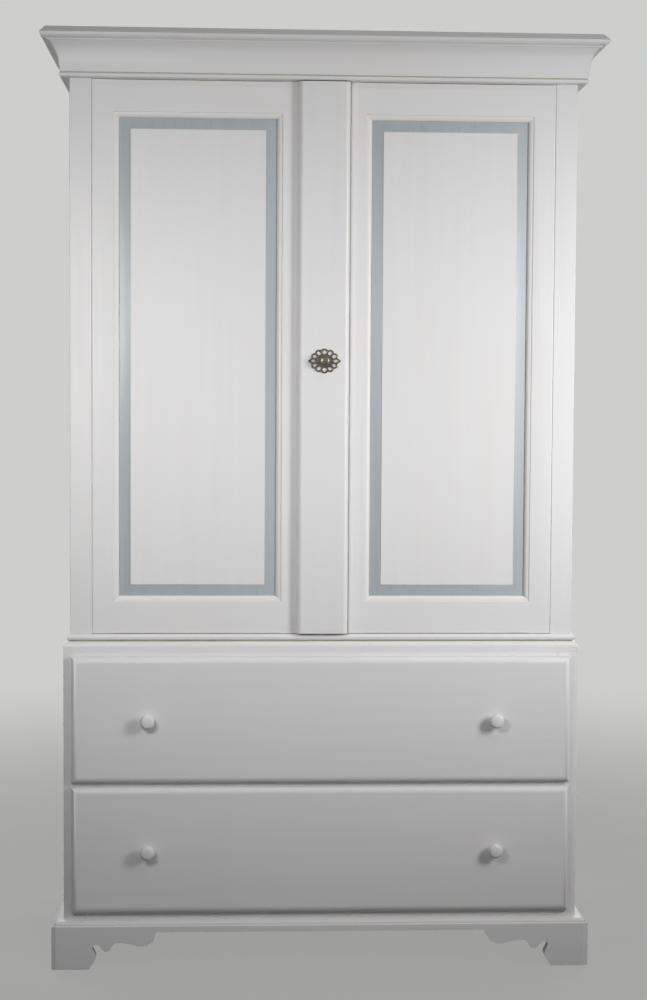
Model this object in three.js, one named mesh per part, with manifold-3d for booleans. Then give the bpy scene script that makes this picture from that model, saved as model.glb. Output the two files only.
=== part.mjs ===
// A painted television armoire in two stages: a lower case with two wide drawers on scrolled bracket feet,
// and an upper case with two fielded-panel doors under a coved crown cornice.
// Millimetres, +X to the right, +Y to the back, +Z up, with the floor at 0.
// The pieces are drawn with Y 0 on the front face of the upper case, and the whole model is then moved so
// that its origin is under the middle of its outer box.

import * as THREE from 'three';
import { mergeVertices } from 'three/addons/utils/BufferGeometryUtils.js';
import Module from 'manifold-3d';

const wasm = await Module();
wasm.setup();

// Driving dimensions
const upper_width = 1072;
const upper_depth = 584;
const upper_height = 1281.5;
const lower_height = 595;
const lower_step = 13.5; // how far the lower case stands out past the upper one, in front and at each side
const base_height = 103.5; // floor to the top of the base boards

// Boards and sheets
const case_board = 19;
const frame_board = 20; // face frames and doors
const back_sheet = 6;
const back_rebate = 9;

// Clearances
const mitre_gap = 0.2; // between two pieces at a mitre, measured along the moulding
const seat_gap = 0.3; // round a piece that sits in a groove, rebate or bore
const overrun = 5; // how far a cutting tool reaches past what it cuts

// Face frame of the upper case
const upper_stile = 45.5;

// Deck board, whose bullnose edge is the bead at the waist. Its floor stands a little above the rebated
// edges, on which the sides, the stiles and the back panel stand
const deck_thickness = 15;
const deck_nose = 7;
const deck_floor_rise = 4;
const deck_floor_gap = 6; // behind the doors, clear of their turning corners

// Crown cornice, measured outwards from the case and upwards from its own lower edge
const cornice_height = 98;
const cornice_bead_centre = 14.6;
const cornice_bead_radius = 4.8;
const cornice_frieze = 18.4;
const cove_reach = 32;
const cove_rise = 64; // of the whole quarter ellipse, of which the cove uses the lower part
const cove_clip = 59.8;
const fillet_reach = 44;
const fillet_height = 2.5;
const cornice_quirk = 1.6;
const crown_reach = 56.8;
const crown_level = 85;
const crown_bevel = 11.8;
const rail_tuck = 0.4; // the top rail shows this much under the cornice
const roof_drop = 20; // the roof is set down inside the cornice

// Stop lip behind the top rail, against which the doors close
const stop_thickness = 14;
const stop_drop = 14;
const stop_rise = 20;
const stop_set_in = 32; // clear of the doors' turning corners

// Doors
const door_side_gap = 1;
const door_end_gap = 1.8;
const door_eased_edge = 2;
const door_stile = 57;
const door_top_rail = 77.2;
const door_bottom_rail = 79.1;
const panel_from_middle = 100.4; // middle of the case to the inner line of either panel opening
const sticking_width = 12;
const sticking_depth = 8.2;
const sticking_quirk = 1.6;
const groove_depth = 9;
const groove_width = 6.6;
const panel_tongue = 6;
const panel_bevel = 24;
const panel_set_back = 1.8; // the panel's flat field lies this far behind the door's face
const panel_back_relief = 2;

// Applied centre strip, which belongs to the left door and ends at that door's free edge
const strip_width = 109;
const strip_proud = 17;
const strip_round = 11;
const strip_shift = -1;

// Pierced backplate and domed knob on the strip
const plate_half_width = 31.4;
const plate_half_height = 26.2;
const plate_cusp = 35;
const plate_cusp_root = 5;
const plate_thickness = 2.2;
const plate_lobes = 12;
const plate_lobe_radius = 7.4;
const plate_hole_half_width = 3.3;
const plate_hole_half_length = 4.1;
const plate_from_door_low = 579.5;
const plate_aside = 1.6; // the plate's middle stands this far to the right of the strip's
const knob_radius = 12;
const knob_length = 23;

// Pivot hinges: a plate let into the case with a pin that stands into the end of the door
const pivot_inboard = 12; // door's outer edge to the pin
const pivot_set_back = 5.5; // door's front face to the pin
const pivot_radius = 2.5;
const pivot_reach = 8;
const pivot_end_gap = 1;
const hinge_leaf_length = 46;
const hinge_leaf_width = 12;
const hinge_leaf_thickness = 2.5;
const hinge_leaf_set_back = 2.6;
const hinge_leaf_end = 6; // from the pin to the near end of its plate

// Component shelf above the television bay, and the pegs that carry it
const shelf_above_deck = 766.5;
const shelf_thickness = 22;
const shelf_set_back = 46;
const shelf_side_gap = 1;
const shelf_back_gap = 12;
const peg_radius = 4;
const peg_reach = 12;
const peg_from_front = 70;
const peg_from_back = 70;

// Cable holes in the upper back panel
const cable_hole_radius = 32;
const cable_hole_from_side = 120;
const cable_hole_above_deck = 90;
const cable_slot_width = 240;
const cable_slot_height = 70;
const cable_slot_above_shelf = 90;

// Lower case
const lower_top_thickness = 22;
const lower_top_round = 12;
const lower_stile = 44;
const lower_case_drop = 23.5; // how far the lower case reaches down inside the base boards
const lower_bottom_thickness = 25;
const lower_rail_lap = 14; // how far each drawer front laps the middle rail
const lower_bottom_lap = 7; // how far the lower drawer front laps the bottom board
const lower_top_rail_height = 30;

// Drawers
const drawer_end_reveal = 17; // how much of the case shows beside each end of a drawer front
const drawer_top_reveal = 9.6;
const drawer_front_thickness = 18.5;
const drawer_front_round = 11.5;
const drawer_from_base = 15;
const drawer_gap = 10;
const drawer_face_gap = 0.3; // between a front and the face frame
const drawer_side_gap = 3.5;
const drawer_back_gap = 90;
const drawer_box_inset = 35; // the box is this much lower than its front at top and bottom
const drawer_board = 15;
const drawer_sheet = 6;
const drawer_sheet_up = 12; // lower edge of the box to its bottom sheet
const drawer_sheet_groove = 6;
const drawer_knob_from_end = 161.9;
const pull_radius = 15.5;
const pull_length = 26;

// Wooden drawer runners, screwed to the case sides and let into grooves in the drawer sides
const runner_height = 18;
const runner_back_gap = 50;
const runner_groove = 8;
const runner_play = 0.4;

// Base boards with bracket feet
const base_board = 22;
const base_back_board = 19;
const base_ledge = 3.5;
const base_ovolo_reach = 18.8;
const base_ovolo_drop = 9.2;
const base_quirk = 1.2;
const base_bead_radius = 2.4;
const skirt_level = 79; // floor to the straight lower edge between the feet
const front_foot = 220; // outer corner to where the straight edge begins
const side_foot = 205;
const back_foot = 130;

// The foot's scrolled inner edge from the floor up: shares of the foot's length and of the skirt's level
const foot_scroll_shares = [
  [0.35, 0], [0.384, 0.13], [0.42, 0.29], [0.413, 0.4], [0.389, 0.53], [0.389, 0.64], [0.418, 0.69],
  [0.47, 0.577], [0.523, 0.482], [0.577, 0.62], [0.636, 0.735], [0.721, 0.692], [0.841, 0.618],
  [0.927, 0.667], [0.968, 0.782], [1, 1],
];
// The plain curve of the back board's feet
const plain_foot_shares = [[0.55, 0], [0.57, 0.3], [0.68, 0.52], [0.85, 0.6], [1, 0.66]];

// Turned profiles from foot to crown: shares of the largest radius and of the length
const knob_shares = [
  [0.66, 0], [0.62, 0.1], [0.42, 0.2], [0.38, 0.36], [0.62, 0.43], [0.93, 0.54], [1, 0.68],
  [0.9, 0.84], [0.6, 0.96], [0, 1],
];
const pull_shares = [
  [0.62, 0], [0.6, 0.1], [0.44, 0.2], [0.43, 0.34], [0.7, 0.42], [0.94, 0.52], [1, 0.66],
  [0.93, 0.82], [0.66, 0.95], [0, 1],
];

// Finishes
const white_paint = { color: 0xe6e3dc, roughness: 0.5, metalness: 0 };
const panel_paint = { color: 0xd3d8dc, roughness: 0.5, metalness: 0 };
const raw_wood = { color: 0xc9ab7c, roughness: 0.75, metalness: 0 };
const back_board = { color: 0xb89468, roughness: 0.85, metalness: 0 };
const aged_metal = { color: 0x55504a, roughness: 0.42, metalness: 0.85 };

// Facets
const arc_steps = 4;
const fine_arc_steps = 6;
const scroll_steps = 3;
const turning_steps = 24;
const bore_steps = 12;

// Levels and widths that follow
const waist_level = base_height + lower_height;
const deck_level = waist_level + deck_thickness;
const top_level = waist_level + upper_height;
const cornice_low = top_level - cornice_height;
const rail_level = cornice_low - rail_tuck;
const roof_level = top_level - roof_drop;
const half_upper = upper_width / 2;
const half_opening = half_upper - upper_stile;
const upper_inside = half_upper - case_board;
const back_inside = upper_depth - back_sheet;
const door_low = deck_level + door_end_gap;
const door_high = rail_level - door_end_gap;
const door_height = door_high - door_low;
const door_edge = half_opening - door_side_gap;
const panel_width = door_edge - door_stile - panel_from_middle;
const panel_height = door_height - door_bottom_rail - door_top_rail;
const meeting_edge = strip_shift + strip_width / 2;
const shelf_level = deck_level + shelf_above_deck;
const peg_level = shelf_level - shelf_thickness - seat_gap - peg_radius;
const half_lower = half_upper + lower_step;
const lower_inside = half_lower - case_board;
const lower_front = -lower_step;
const lower_frame_back = lower_front + frame_board;
const lower_foot = base_height - lower_case_drop;
const lower_top_low = waist_level - lower_top_thickness;
const half_drawer_opening = half_lower - lower_stile;
const drawer_front_width = 2 * (half_lower - drawer_end_reveal);
const drawer_fronts_space = lower_top_low - drawer_top_reveal - base_height - drawer_from_base;
const drawer_front_height = (drawer_fronts_space - drawer_gap) / 2;
const drawer_box_height = drawer_front_height - 2 * drawer_box_inset;
const drawer_box_back = back_inside - drawer_back_gap;
const drawer_box_depth = drawer_box_back - lower_front + drawer_face_gap;
const lower_drawer_low = base_height + drawer_from_base;
const upper_drawer_low = lower_drawer_low + drawer_front_height + drawer_gap;
const drawer_box_half = half_drawer_opening - drawer_side_gap;
const quarter = Math.PI / 2;

// Solids and outlines

function solid(geometry) {
  const bare = geometry.clone();
  bare.deleteAttribute('normal');
  bare.deleteAttribute('uv');
  const welded = mergeVertices(bare);
  return new wasm.Manifold(new wasm.Mesh({
    numProp: 3,
    vertProperties: new Float32Array(welded.attributes.position.array),
    triVerts: new Uint32Array(welded.index.array),
  }));
}

function geometry_of(body) {
  const mesh = body.getMesh();
  const geometry = new THREE.BufferGeometry();
  geometry.setAttribute('position', new THREE.BufferAttribute(new Float32Array(mesh.vertProperties), 3));
  geometry.setIndex(new THREE.BufferAttribute(new Uint32Array(mesh.triVerts), 1));
  const faceted = geometry.toNonIndexed();
  faceted.computeVertexNormals();
  return faceted;
}

function cut(geometry, ...tools) {
  return geometry_of(tools.reduce((body, tool) => body.subtract(solid(tool)), solid(geometry)));
}

function join(geometry, ...others) {
  return geometry_of(others.reduce((body, other) => body.add(solid(other)), solid(geometry)));
}

function common(geometry, ...others) {
  return geometry_of(others.reduce((body, other) => body.intersect(solid(other)), solid(geometry)));
}

// A block between two opposite corners, given in either order
function block(corner, opposite) {
  const low = corner.map((value, i) => Math.min(value, opposite[i]));
  const high = corner.map((value, i) => Math.max(value, opposite[i]));
  const geometry = new THREE.BoxGeometry(...high.map((value, i) => value - low[i]));
  return geometry.translate(...high.map((value, i) => (value + low[i]) / 2));
}

// An outline drawn in (y, z), (x, z) or (x, y), extruded along x, y or z
function extruded(outline, axis, from, to, steps = arc_steps) {
  const geometry = new THREE.ExtrudeGeometry(outline, { depth: to - from, bevelEnabled: false, curveSegments: steps });
  const x = new THREE.Vector3(1, 0, 0);
  const y = new THREE.Vector3(0, 1, 0);
  const z = new THREE.Vector3(0, 0, 1);
  const frames = { x: [y, z, x], y: [x, z, y.clone().negate()], z: [x, y, z] };
  const starts = { x: [from, 0, 0], y: [0, to, 0], z: [0, 0, from] };
  geometry.applyMatrix4(new THREE.Matrix4().makeBasis(...frames[axis]));
  return geometry.translate(...starts[axis]);
}

function polygon(points) {
  return new THREE.Shape(points.map(([u, v]) => new THREE.Vector2(u, v)));
}

// The same outline with its two directions exchanged
function transposed(outline) {
  return polygon(outline.getPoints(arc_steps).map((point) => [point.y, point.x]));
}

// A moulding whose outline is given outwards and upwards. It runs along X from `start` to `end` and faces -Y.
// A slope of 1 mitres that end, so that the moulding grows longer outwards.
function moulding(outline, start, end, start_slope, end_slope) {
  const geometry = new THREE.ExtrudeGeometry(outline, { depth: 1, bevelEnabled: false, curveSegments: arc_steps });
  const places = geometry.attributes.position;
  for (let i = 0; i < places.count; i += 1) {
    const outward = places.getX(i);
    const along = places.getZ(i) > 0
      ? start - start_slope * (outward - mitre_gap / 2)
      : end + end_slope * (outward - mitre_gap / 2);
    places.setXYZ(i, along, -outward, places.getY(i));
  }
  geometry.computeVertexNormals();
  return geometry;
}

// A turned piece that stands out towards -Y, from a table of radius and length shares
function turned(shares, radius, length) {
  const profile = shares.map(([across, along]) => new THREE.Vector2(across * radius, along * length));
  const geometry = new THREE.LatheGeometry([new THREE.Vector2(0, 0), ...profile], turning_steps);
  return geometry.rotateX(2 * quarter);
}

// A rod along X, Y or Z whose middle is at `place`
function rod(axis, radius, length, place) {
  const geometry = new THREE.CylinderGeometry(radius, radius, length, bore_steps);
  if (axis === 'x') geometry.rotateZ(quarter);
  if (axis === 'z') geometry.rotateX(quarter);
  return geometry.translate(...place);
}

// The mirror image across the plane X 0
function mirrored(geometry) {
  const loose = geometry.index ? geometry.toNonIndexed() : geometry.clone();
  const places = loose.attributes.position;
  for (let i = 0; i < places.count; i += 3) {
    const [a, b, c] = [0, 1, 2].map((k) => [-places.getX(i + k), places.getY(i + k), places.getZ(i + k)]);
    places.setXYZ(i, ...a);
    places.setXYZ(i + 1, ...c);
    places.setXYZ(i + 2, ...b);
  }
  loose.computeVertexNormals();
  return loose;
}

// The model

const armoire = new THREE.Group();
armoire.name = 'tv_armoire';

function piece(parent, name, finish, geometry, place = [0, 0, 0], turn = 0) {
  const mesh = new THREE.Mesh(geometry, new THREE.MeshStandardMaterial(finish));
  mesh.name = name;
  mesh.position.set(...place);
  mesh.rotation.z = turn;
  parent.add(mesh);
}

// A left piece and its mirror image on the right
function pair(parent, name, finish, left_geometry) {
  piece(parent, `${name}_left`, finish, left_geometry);
  piece(parent, `${name}_right`, finish, mirrored(left_geometry));
}

function group_of(parent, place) {
  const group = new THREE.Group();
  group.position.set(...place);
  parent.add(group);
  return group;
}

// Upper case

// A case side seen from above, on the left, with the rebate for the back panel
function side_outline(outside, inside, front) {
  return polygon([
    [-outside, front],
    [-inside, front],
    [-inside, back_inside],
    [-inside - back_rebate, back_inside],
    [-inside - back_rebate, upper_depth],
    [-outside, upper_depth],
  ]);
}

function upper_side() {
  const board = extruded(side_outline(half_upper, upper_inside, frame_board), 'z', deck_level, roof_level);
  const pegs = [peg_from_front, upper_depth - peg_from_back].map((y) => rod(
    'x', peg_radius, peg_reach + case_board / 2, [-upper_inside + (peg_reach - case_board / 2) / 2, y, peg_level],
  ));
  return join(board, ...pegs);
}

// The deck board: its front and side edges are bullnoses that meet at the corners
function upper_deck() {
  const radius = deck_thickness / 2;
  const edge = half_upper + deck_nose - radius;
  const upright = new THREE.Shape();
  upright.moveTo(upper_depth, 0);
  upright.lineTo(upper_depth, deck_thickness);
  upright.absarc(radius - deck_nose, radius, radius, quarter, 3 * quarter, false);
  const across = new THREE.Shape();
  across.absarc(edge, radius, radius, -quarter, quarter, false);
  across.absarc(-edge, radius, radius, quarter, 3 * quarter, false);
  const board = common(
    extruded(upright, 'x', -edge - deck_thickness, edge + deck_thickness),
    extruded(across, 'y', -deck_nose - overrun, upper_depth),
  );
  board.translate(0, 0, waist_level);
  const half_floor = upper_inside - seat_gap;
  const floor = block(
    [-half_floor, frame_board + deck_floor_gap, deck_level - deck_thickness / 2],
    [half_floor, back_inside - seat_gap, deck_level + deck_floor_rise],
  );
  const pocket = leaf_pocket(deck_level, -1);
  return cut(join(board, floor), pocket, mirrored(pocket));
}

// The top rail, with the stop lip behind the doors
function upper_top_rail() {
  const rail = block([-half_opening, 0, rail_level], [half_opening, frame_board, roof_level]);
  const lip_front = frame_board + seat_gap;
  const lip_back = frame_board + stop_thickness;
  const lip = polygon([
    [frame_board / 2, rail_level],
    [lip_front, rail_level],
    [lip_front, door_high - stop_drop],
    [lip_back, door_high - stop_drop],
    [lip_back, rail_level + stop_rise],
    [frame_board / 2, rail_level + stop_rise],
  ]);
  const reach = half_opening - stop_set_in;
  const pocket = leaf_pocket(rail_level, 1);
  return cut(join(rail, extruded(lip, 'x', -reach, reach)), pocket, mirrored(pocket));
}

// The back panel, with two cable holes behind the television and a slot above the shelf
function upper_back_panel() {
  const half = upper_inside + back_rebate - seat_gap;
  const panel = polygon([[-half, deck_level], [half, deck_level], [half, roof_level], [-half, roof_level]]);
  for (const side of [-1, 1]) {
    const hole = new THREE.Path();
    const x = side * (half - cable_hole_from_side);
    hole.absarc(x, deck_level + cable_hole_above_deck, cable_hole_radius, 0, 4 * quarter, true);
    panel.holes.push(hole);
  }
  const slot = new THREE.Path();
  const round = cable_slot_height / 2;
  const reach = cable_slot_width / 2 - round;
  const middle = shelf_level + cable_slot_above_shelf;
  slot.absarc(-reach, middle, round, -quarter, -3 * quarter, true);
  slot.absarc(reach, middle, round, quarter, -quarter, true);
  panel.holes.push(slot);
  return extruded(panel, 'y', back_inside, upper_depth, 2 * fine_arc_steps);
}

function build_upper_case(parent) {
  pair(parent, 'upper_side', white_paint, upper_side());
  pair(parent, 'upper_stile', white_paint, block(
    [-half_upper, 0, deck_level], [-half_opening, frame_board, roof_level],
  ));
  piece(parent, 'upper_deck', white_paint, upper_deck());
  piece(parent, 'upper_top_rail', white_paint, upper_top_rail());
  piece(parent, 'upper_roof', white_paint, block(
    [-upper_inside, frame_board, roof_level - case_board], [upper_inside, back_inside, roof_level],
  ));
  piece(parent, 'upper_back_panel', back_board, upper_back_panel());
  const shelf_half = upper_inside - shelf_side_gap;
  piece(parent, 'component_shelf', white_paint, block(
    [-shelf_half, shelf_set_back, shelf_level - shelf_thickness],
    [shelf_half, back_inside - shelf_back_gap, shelf_level],
  ));
}

// Crown cornice, seen in section: bead, frieze, cove, fillet, quirk, ovolo and bevel
function cornice_outline() {
  const cove_foot = 2 * cornice_bead_radius + cornice_quirk;
  const cove_end = cove_foot + cove_clip;
  const cove_turn = Math.asin(cove_clip / cove_rise);
  const ovolo_foot = cove_end + fillet_height + cornice_quirk / 2;
  const ovolo_root = fillet_reach + cornice_quirk;
  const outline = new THREE.Shape();
  outline.moveTo(0, 0);
  outline.lineTo(cornice_bead_centre, 0);
  outline.absarc(cornice_bead_centre, cornice_bead_radius, cornice_bead_radius, -quarter, quarter, false);
  outline.lineTo(cornice_frieze, 2 * cornice_bead_radius);
  outline.absellipse(
    cornice_frieze + cove_reach, cove_foot, cove_reach, cove_rise, 2 * quarter, 2 * quarter - cove_turn, true, 0,
  );
  outline.lineTo(fillet_reach, cove_end);
  outline.lineTo(fillet_reach, cove_end + fillet_height);
  outline.absellipse(
    ovolo_root, crown_level, crown_reach - ovolo_root, crown_level - ovolo_foot, -quarter, 0, false, 0,
  );
  outline.lineTo(crown_reach - crown_bevel, cornice_height);
  outline.lineTo(0, cornice_height);
  return outline;
}

// Three lengths of one moulding round the front and sides of a case
function wrap_round(parent, name, half_width, front, level, length_of) {
  const depth = upper_depth - front;
  piece(parent, `${name}_front`, white_paint, length_of(-half_width, half_width, 1, 1), [0, front, level]);
  const left = [-half_width - seat_gap, upper_depth, level];
  piece(parent, `${name}_left`, white_paint, length_of(0, depth, 0, 1), left, -quarter);
  const right = [half_width + seat_gap, front, level];
  piece(parent, `${name}_right`, white_paint, length_of(0, depth, 1, 0), right, quarter);
}

function build_cornice(parent) {
  wrap_round(parent, 'cornice', half_upper, 0, cornice_low, (...run) => moulding(cornice_outline(), ...run));
}

// Doors

// Section of a stile or rail: from its outer edge to the panel, and from the door's face to its back
function member_section(width, eased) {
  const sticking_root = width - sticking_width + sticking_quirk / 2;
  const section = new THREE.Shape();
  section.moveTo(0, frame_board);
  section.lineTo(0, eased);
  if (eased > 0) section.absarc(eased, eased, eased, 2 * quarter, 3 * quarter, false);
  section.lineTo(width - sticking_width, 0);
  section.absellipse(
    sticking_root, sticking_depth, width - sticking_root, sticking_depth - sticking_quirk, -quarter, 0, false, 0,
  );
  section.lineTo(width - groove_depth, sticking_depth);
  section.lineTo(width - groove_depth, sticking_depth + groove_width);
  section.lineTo(width, sticking_depth + groove_width);
  section.lineTo(width, frame_board);
  return section;
}

// A full-length stile with its outer edge at X 0. Its sticking is mitred to meet the rails' sticking.
function door_stile_of(width) {
  const gap = mitre_gap / 2;
  const flat_end = width - sticking_width;
  const past = sticking_width + overrun;
  const bottom = door_bottom_rail - sticking_width + gap;
  const top = door_height - door_top_rail + sticking_width - gap;
  const mask = polygon([
    [-overrun, -overrun],
    [flat_end, -overrun],
    [flat_end, bottom],
    [flat_end + past, bottom + past],
    [flat_end + past, top - past],
    [flat_end, top],
    [flat_end, door_height + overrun],
    [-overrun, door_height + overrun],
  ]);
  const body = extruded(member_section(width, door_eased_edge), 'z', 0, door_height);
  return common(body, extruded(mask, 'y', -overrun, frame_board + overrun));
}

// A rail between the flats of two stiles, with its outer edge at Z 0 and the panel's left edge at X 0
function door_rail_of(width) {
  const start = -sticking_width;
  const end = panel_width + sticking_width;
  const flat_end = width - sticking_width - mitre_gap / 2;
  const past = sticking_width + overrun;
  const mask = polygon([
    [start, -overrun],
    [end, -overrun],
    [end, flat_end],
    [end - past, flat_end + past],
    [start + past, flat_end + past],
    [start, flat_end],
  ]);
  const body = extruded(transposed(member_section(width, 0)), 'x', start, end);
  return common(body, extruded(mask, 'y', -overrun, frame_board + overrun));
}

// Section of the fielded panel: sloping bevels round a flat field, and a tongue for the frame's groove
function panel_section(span) {
  const tongue = groove_depth - 2 * seat_gap;
  const front = sticking_depth + seat_gap;
  const back = front + panel_tongue;
  const back_face = frame_board - panel_back_relief;
  return polygon([
    [-tongue, front],
    [0, front],
    [panel_bevel, panel_set_back],
    [span - panel_bevel, panel_set_back],
    [span, front],
    [span + tongue, front],
    [span + tongue, back],
    [span - seat_gap, back],
    [span - seat_gap, back_face],
    [seat_gap, back_face],
    [seat_gap, back],
    [-tongue, back],
  ]);
}

function fielded_panel() {
  return common(
    extruded(panel_section(panel_width), 'z', -groove_depth, panel_height + groove_depth),
    extruded(transposed(panel_section(panel_height)), 'x', -groove_depth, panel_width + groove_depth),
  );
}

// The bore for a pivot pin in the end of a hinge stile
function pivot_bore(level, inward) {
  const depth = pivot_reach + pivot_end_gap;
  const middle = level + inward * (depth - overrun) / 2;
  return rod('z', pivot_radius + seat_gap, depth + overrun, [pivot_inboard, pivot_set_back, middle]);
}

// One door, drawn from its hinge edge at X 0, and mirrored for the right-hand one
function build_door(parent, name, hand, free_stile) {
  const handed = (geometry) => (hand > 0 ? geometry : mirrored(geometry));
  const place = [-hand * door_edge, 0, door_low];
  const hinge_stile = cut(door_stile_of(door_stile), pivot_bore(0, 1), pivot_bore(door_height, -1));
  const meeting_stile = mirrored(door_stile_of(free_stile));
  meeting_stile.translate(door_stile + panel_width + free_stile, 0, 0);
  const bottom_rail = door_rail_of(door_bottom_rail);
  bottom_rail.translate(door_stile, 0, 0);
  const top_rail = door_rail_of(door_top_rail);
  top_rail.rotateY(2 * quarter);
  top_rail.translate(door_stile + panel_width, 0, door_height);
  const panel = fielded_panel();
  panel.translate(door_stile, 0, door_bottom_rail);
  piece(parent, `${name}_hinge_stile`, white_paint, handed(hinge_stile), place);
  piece(parent, `${name}_meeting_stile`, white_paint, handed(meeting_stile), place);
  piece(parent, `${name}_bottom_rail`, white_paint, handed(bottom_rail), place);
  piece(parent, `${name}_top_rail`, white_paint, handed(top_rail), place);
  piece(parent, `${name}_panel`, panel_paint, handed(panel), place);
}

// The strip's section seen from above, with its two front edges rounded
function strip_outline() {
  const half = strip_width / 2;
  const outline = new THREE.Shape();
  outline.moveTo(-half, 0);
  outline.lineTo(-half, strip_round - strip_proud);
  outline.absarc(-half + strip_round, strip_round - strip_proud, strip_round, 2 * quarter, 3 * quarter, false);
  outline.absarc(half - strip_round, strip_round - strip_proud, strip_round, 3 * quarter, 4 * quarter, false);
  outline.lineTo(half, 0);
  return outline;
}

// The pierced backplate: an oval ring of lobes, each with a petal-shaped hole, and a cusp at either end
function knob_backplate() {
  const across = plate_half_width - plate_lobe_radius;
  const up = plate_half_height - plate_lobe_radius;
  const flat = (outline, steps) => extruded(outline, 'y', -plate_thickness, 0, steps);
  const disc = new THREE.Shape();
  disc.absellipse(0, 0, across, up, 0, 4 * quarter, false, 0);
  const layers = [flat(disc, 2 * fine_arc_steps)];
  const holes = [];
  for (let i = 0; i < plate_lobes; i += 1) {
    const angle = i * 4 * quarter / plate_lobes;
    const [x, z] = [across * Math.cos(angle), up * Math.sin(angle)];
    const lobe = new THREE.Shape();
    lobe.absarc(x, z, plate_lobe_radius, 0, 4 * quarter, false);
    layers.push(flat(lobe, fine_arc_steps));
    const petal = new THREE.Shape();
    petal.absellipse(x, z, plate_hole_half_length, plate_hole_half_width, 0, 4 * quarter, false, angle);
    holes.push(extruded(petal, 'y', -plate_thickness - overrun, overrun));
  }
  for (const side of [-1, 1]) {
    layers.push(flat(polygon([
      [side * across, -plate_cusp_root],
      [side * plate_cusp, 0],
      [side * across, plate_cusp_root],
    ])));
  }
  return cut(join(...layers), ...holes);
}

function build_doors(parent) {
  build_door(parent, 'left_door', 1, panel_from_middle + meeting_edge);
  build_door(parent, 'right_door', -1, panel_from_middle - meeting_edge - door_side_gap);
  const knob_level = door_low + plate_from_door_low;
  const strip = extruded(strip_outline(), 'z', door_low, door_high, fine_arc_steps);
  piece(parent, 'centre_strip', white_paint, strip, [strip_shift, 0, 0]);
  const plate_x = strip_shift + plate_aside;
  piece(parent, 'knob_backplate', aged_metal, knob_backplate(), [plate_x, -strip_proud, knob_level]);
  const knob_place = [plate_x, -strip_proud - plate_thickness, knob_level];
  piece(parent, 'door_knob', aged_metal, turned(knob_shares, knob_radius, knob_length), knob_place);
}

// Pivot hinges, on the left: `inward` is the way from the door into the case

function leaf(level, inward, room) {
  const pin_x = -door_edge + pivot_inboard;
  return block(
    [pin_x - hinge_leaf_end - room, hinge_leaf_set_back - room, level],
    [
      pin_x - hinge_leaf_end + hinge_leaf_length + room,
      hinge_leaf_set_back + hinge_leaf_width + room,
      level + inward * (hinge_leaf_thickness + room),
    ],
  );
}

function leaf_pocket(level, inward) {
  const mouth = level - inward * overrun;
  return join(leaf(level, inward, seat_gap), leaf(mouth, inward, seat_gap).translate(0, 0, inward * overrun / 2));
}

function pivot_hinge(level, inward) {
  const out = door_end_gap + pivot_reach;
  const pin_x = -door_edge + pivot_inboard;
  const middle = level + inward * (hinge_leaf_thickness - out) / 2;
  const pin = rod('z', pivot_radius, out + hinge_leaf_thickness, [pin_x, pivot_set_back, middle]);
  return join(leaf(level, inward, 0), pin);
}

function build_hinges(parent) {
  pair(parent, 'bottom_hinge', aged_metal, pivot_hinge(deck_level, -1));
  pair(parent, 'top_hinge', aged_metal, pivot_hinge(rail_level, 1));
}

// Lower case

// The top board, rounded along its front and side edges
function lower_top_board() {
  const round = lower_top_round;
  const upright = new THREE.Shape();
  upright.moveTo(upper_depth, 0);
  upright.lineTo(upper_depth, lower_top_thickness);
  upright.absarc(lower_front + round, lower_top_thickness - round, round, quarter, 2 * quarter, false);
  upright.lineTo(lower_front, 0);
  const across = new THREE.Shape();
  across.moveTo(-half_lower, 0);
  across.lineTo(half_lower, 0);
  across.absarc(half_lower - round, lower_top_thickness - round, round, 0, quarter, false);
  across.absarc(-half_lower + round, lower_top_thickness - round, round, quarter, 2 * quarter, false);
  const board = common(
    extruded(upright, 'x', -half_lower - overrun, half_lower + overrun),
    extruded(across, 'y', lower_front - overrun, upper_depth),
  );
  return board.translate(0, 0, lower_top_low);
}

// The bottom board: its front edge shows under the lower drawer, between the stiles
function lower_bottom_board() {
  const outline = polygon([
    [-half_drawer_opening, lower_front],
    [half_drawer_opening, lower_front],
    [half_drawer_opening, lower_frame_back],
    [lower_inside, lower_frame_back],
    [lower_inside, back_inside],
    [-lower_inside, back_inside],
    [-lower_inside, lower_frame_back],
    [-half_drawer_opening, lower_frame_back],
  ]);
  const top = lower_drawer_low + lower_bottom_lap;
  return extruded(outline, 'z', top - lower_bottom_thickness, top);
}

function build_lower_case(parent) {
  const side = side_outline(half_lower, lower_inside, lower_frame_back);
  pair(parent, 'lower_side', white_paint, extruded(side, 'z', lower_foot, lower_top_low));
  pair(parent, 'lower_stile', white_paint, block(
    [-half_lower, lower_front, lower_foot], [-half_drawer_opening, lower_frame_back, lower_top_low],
  ));
  const rail_between = (low, high) => block(
    [-half_drawer_opening, lower_front, low], [half_drawer_opening, lower_frame_back, high],
  );
  piece(parent, 'lower_top_board', white_paint, lower_top_board());
  piece(parent, 'lower_top_rail', white_paint, rail_between(lower_top_low - lower_top_rail_height, lower_top_low));
  const gap_low = lower_drawer_low + drawer_front_height;
  piece(parent, 'lower_middle_rail', white_paint, rail_between(
    gap_low - lower_rail_lap, upper_drawer_low + lower_rail_lap,
  ));
  piece(parent, 'lower_bottom_board', white_paint, lower_bottom_board());
  const back_half = lower_inside + back_rebate - seat_gap;
  piece(parent, 'lower_back_panel', back_board, block(
    [-back_half, back_inside, lower_foot], [back_half, upper_depth, lower_top_low],
  ));
}

// Drawers

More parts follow.
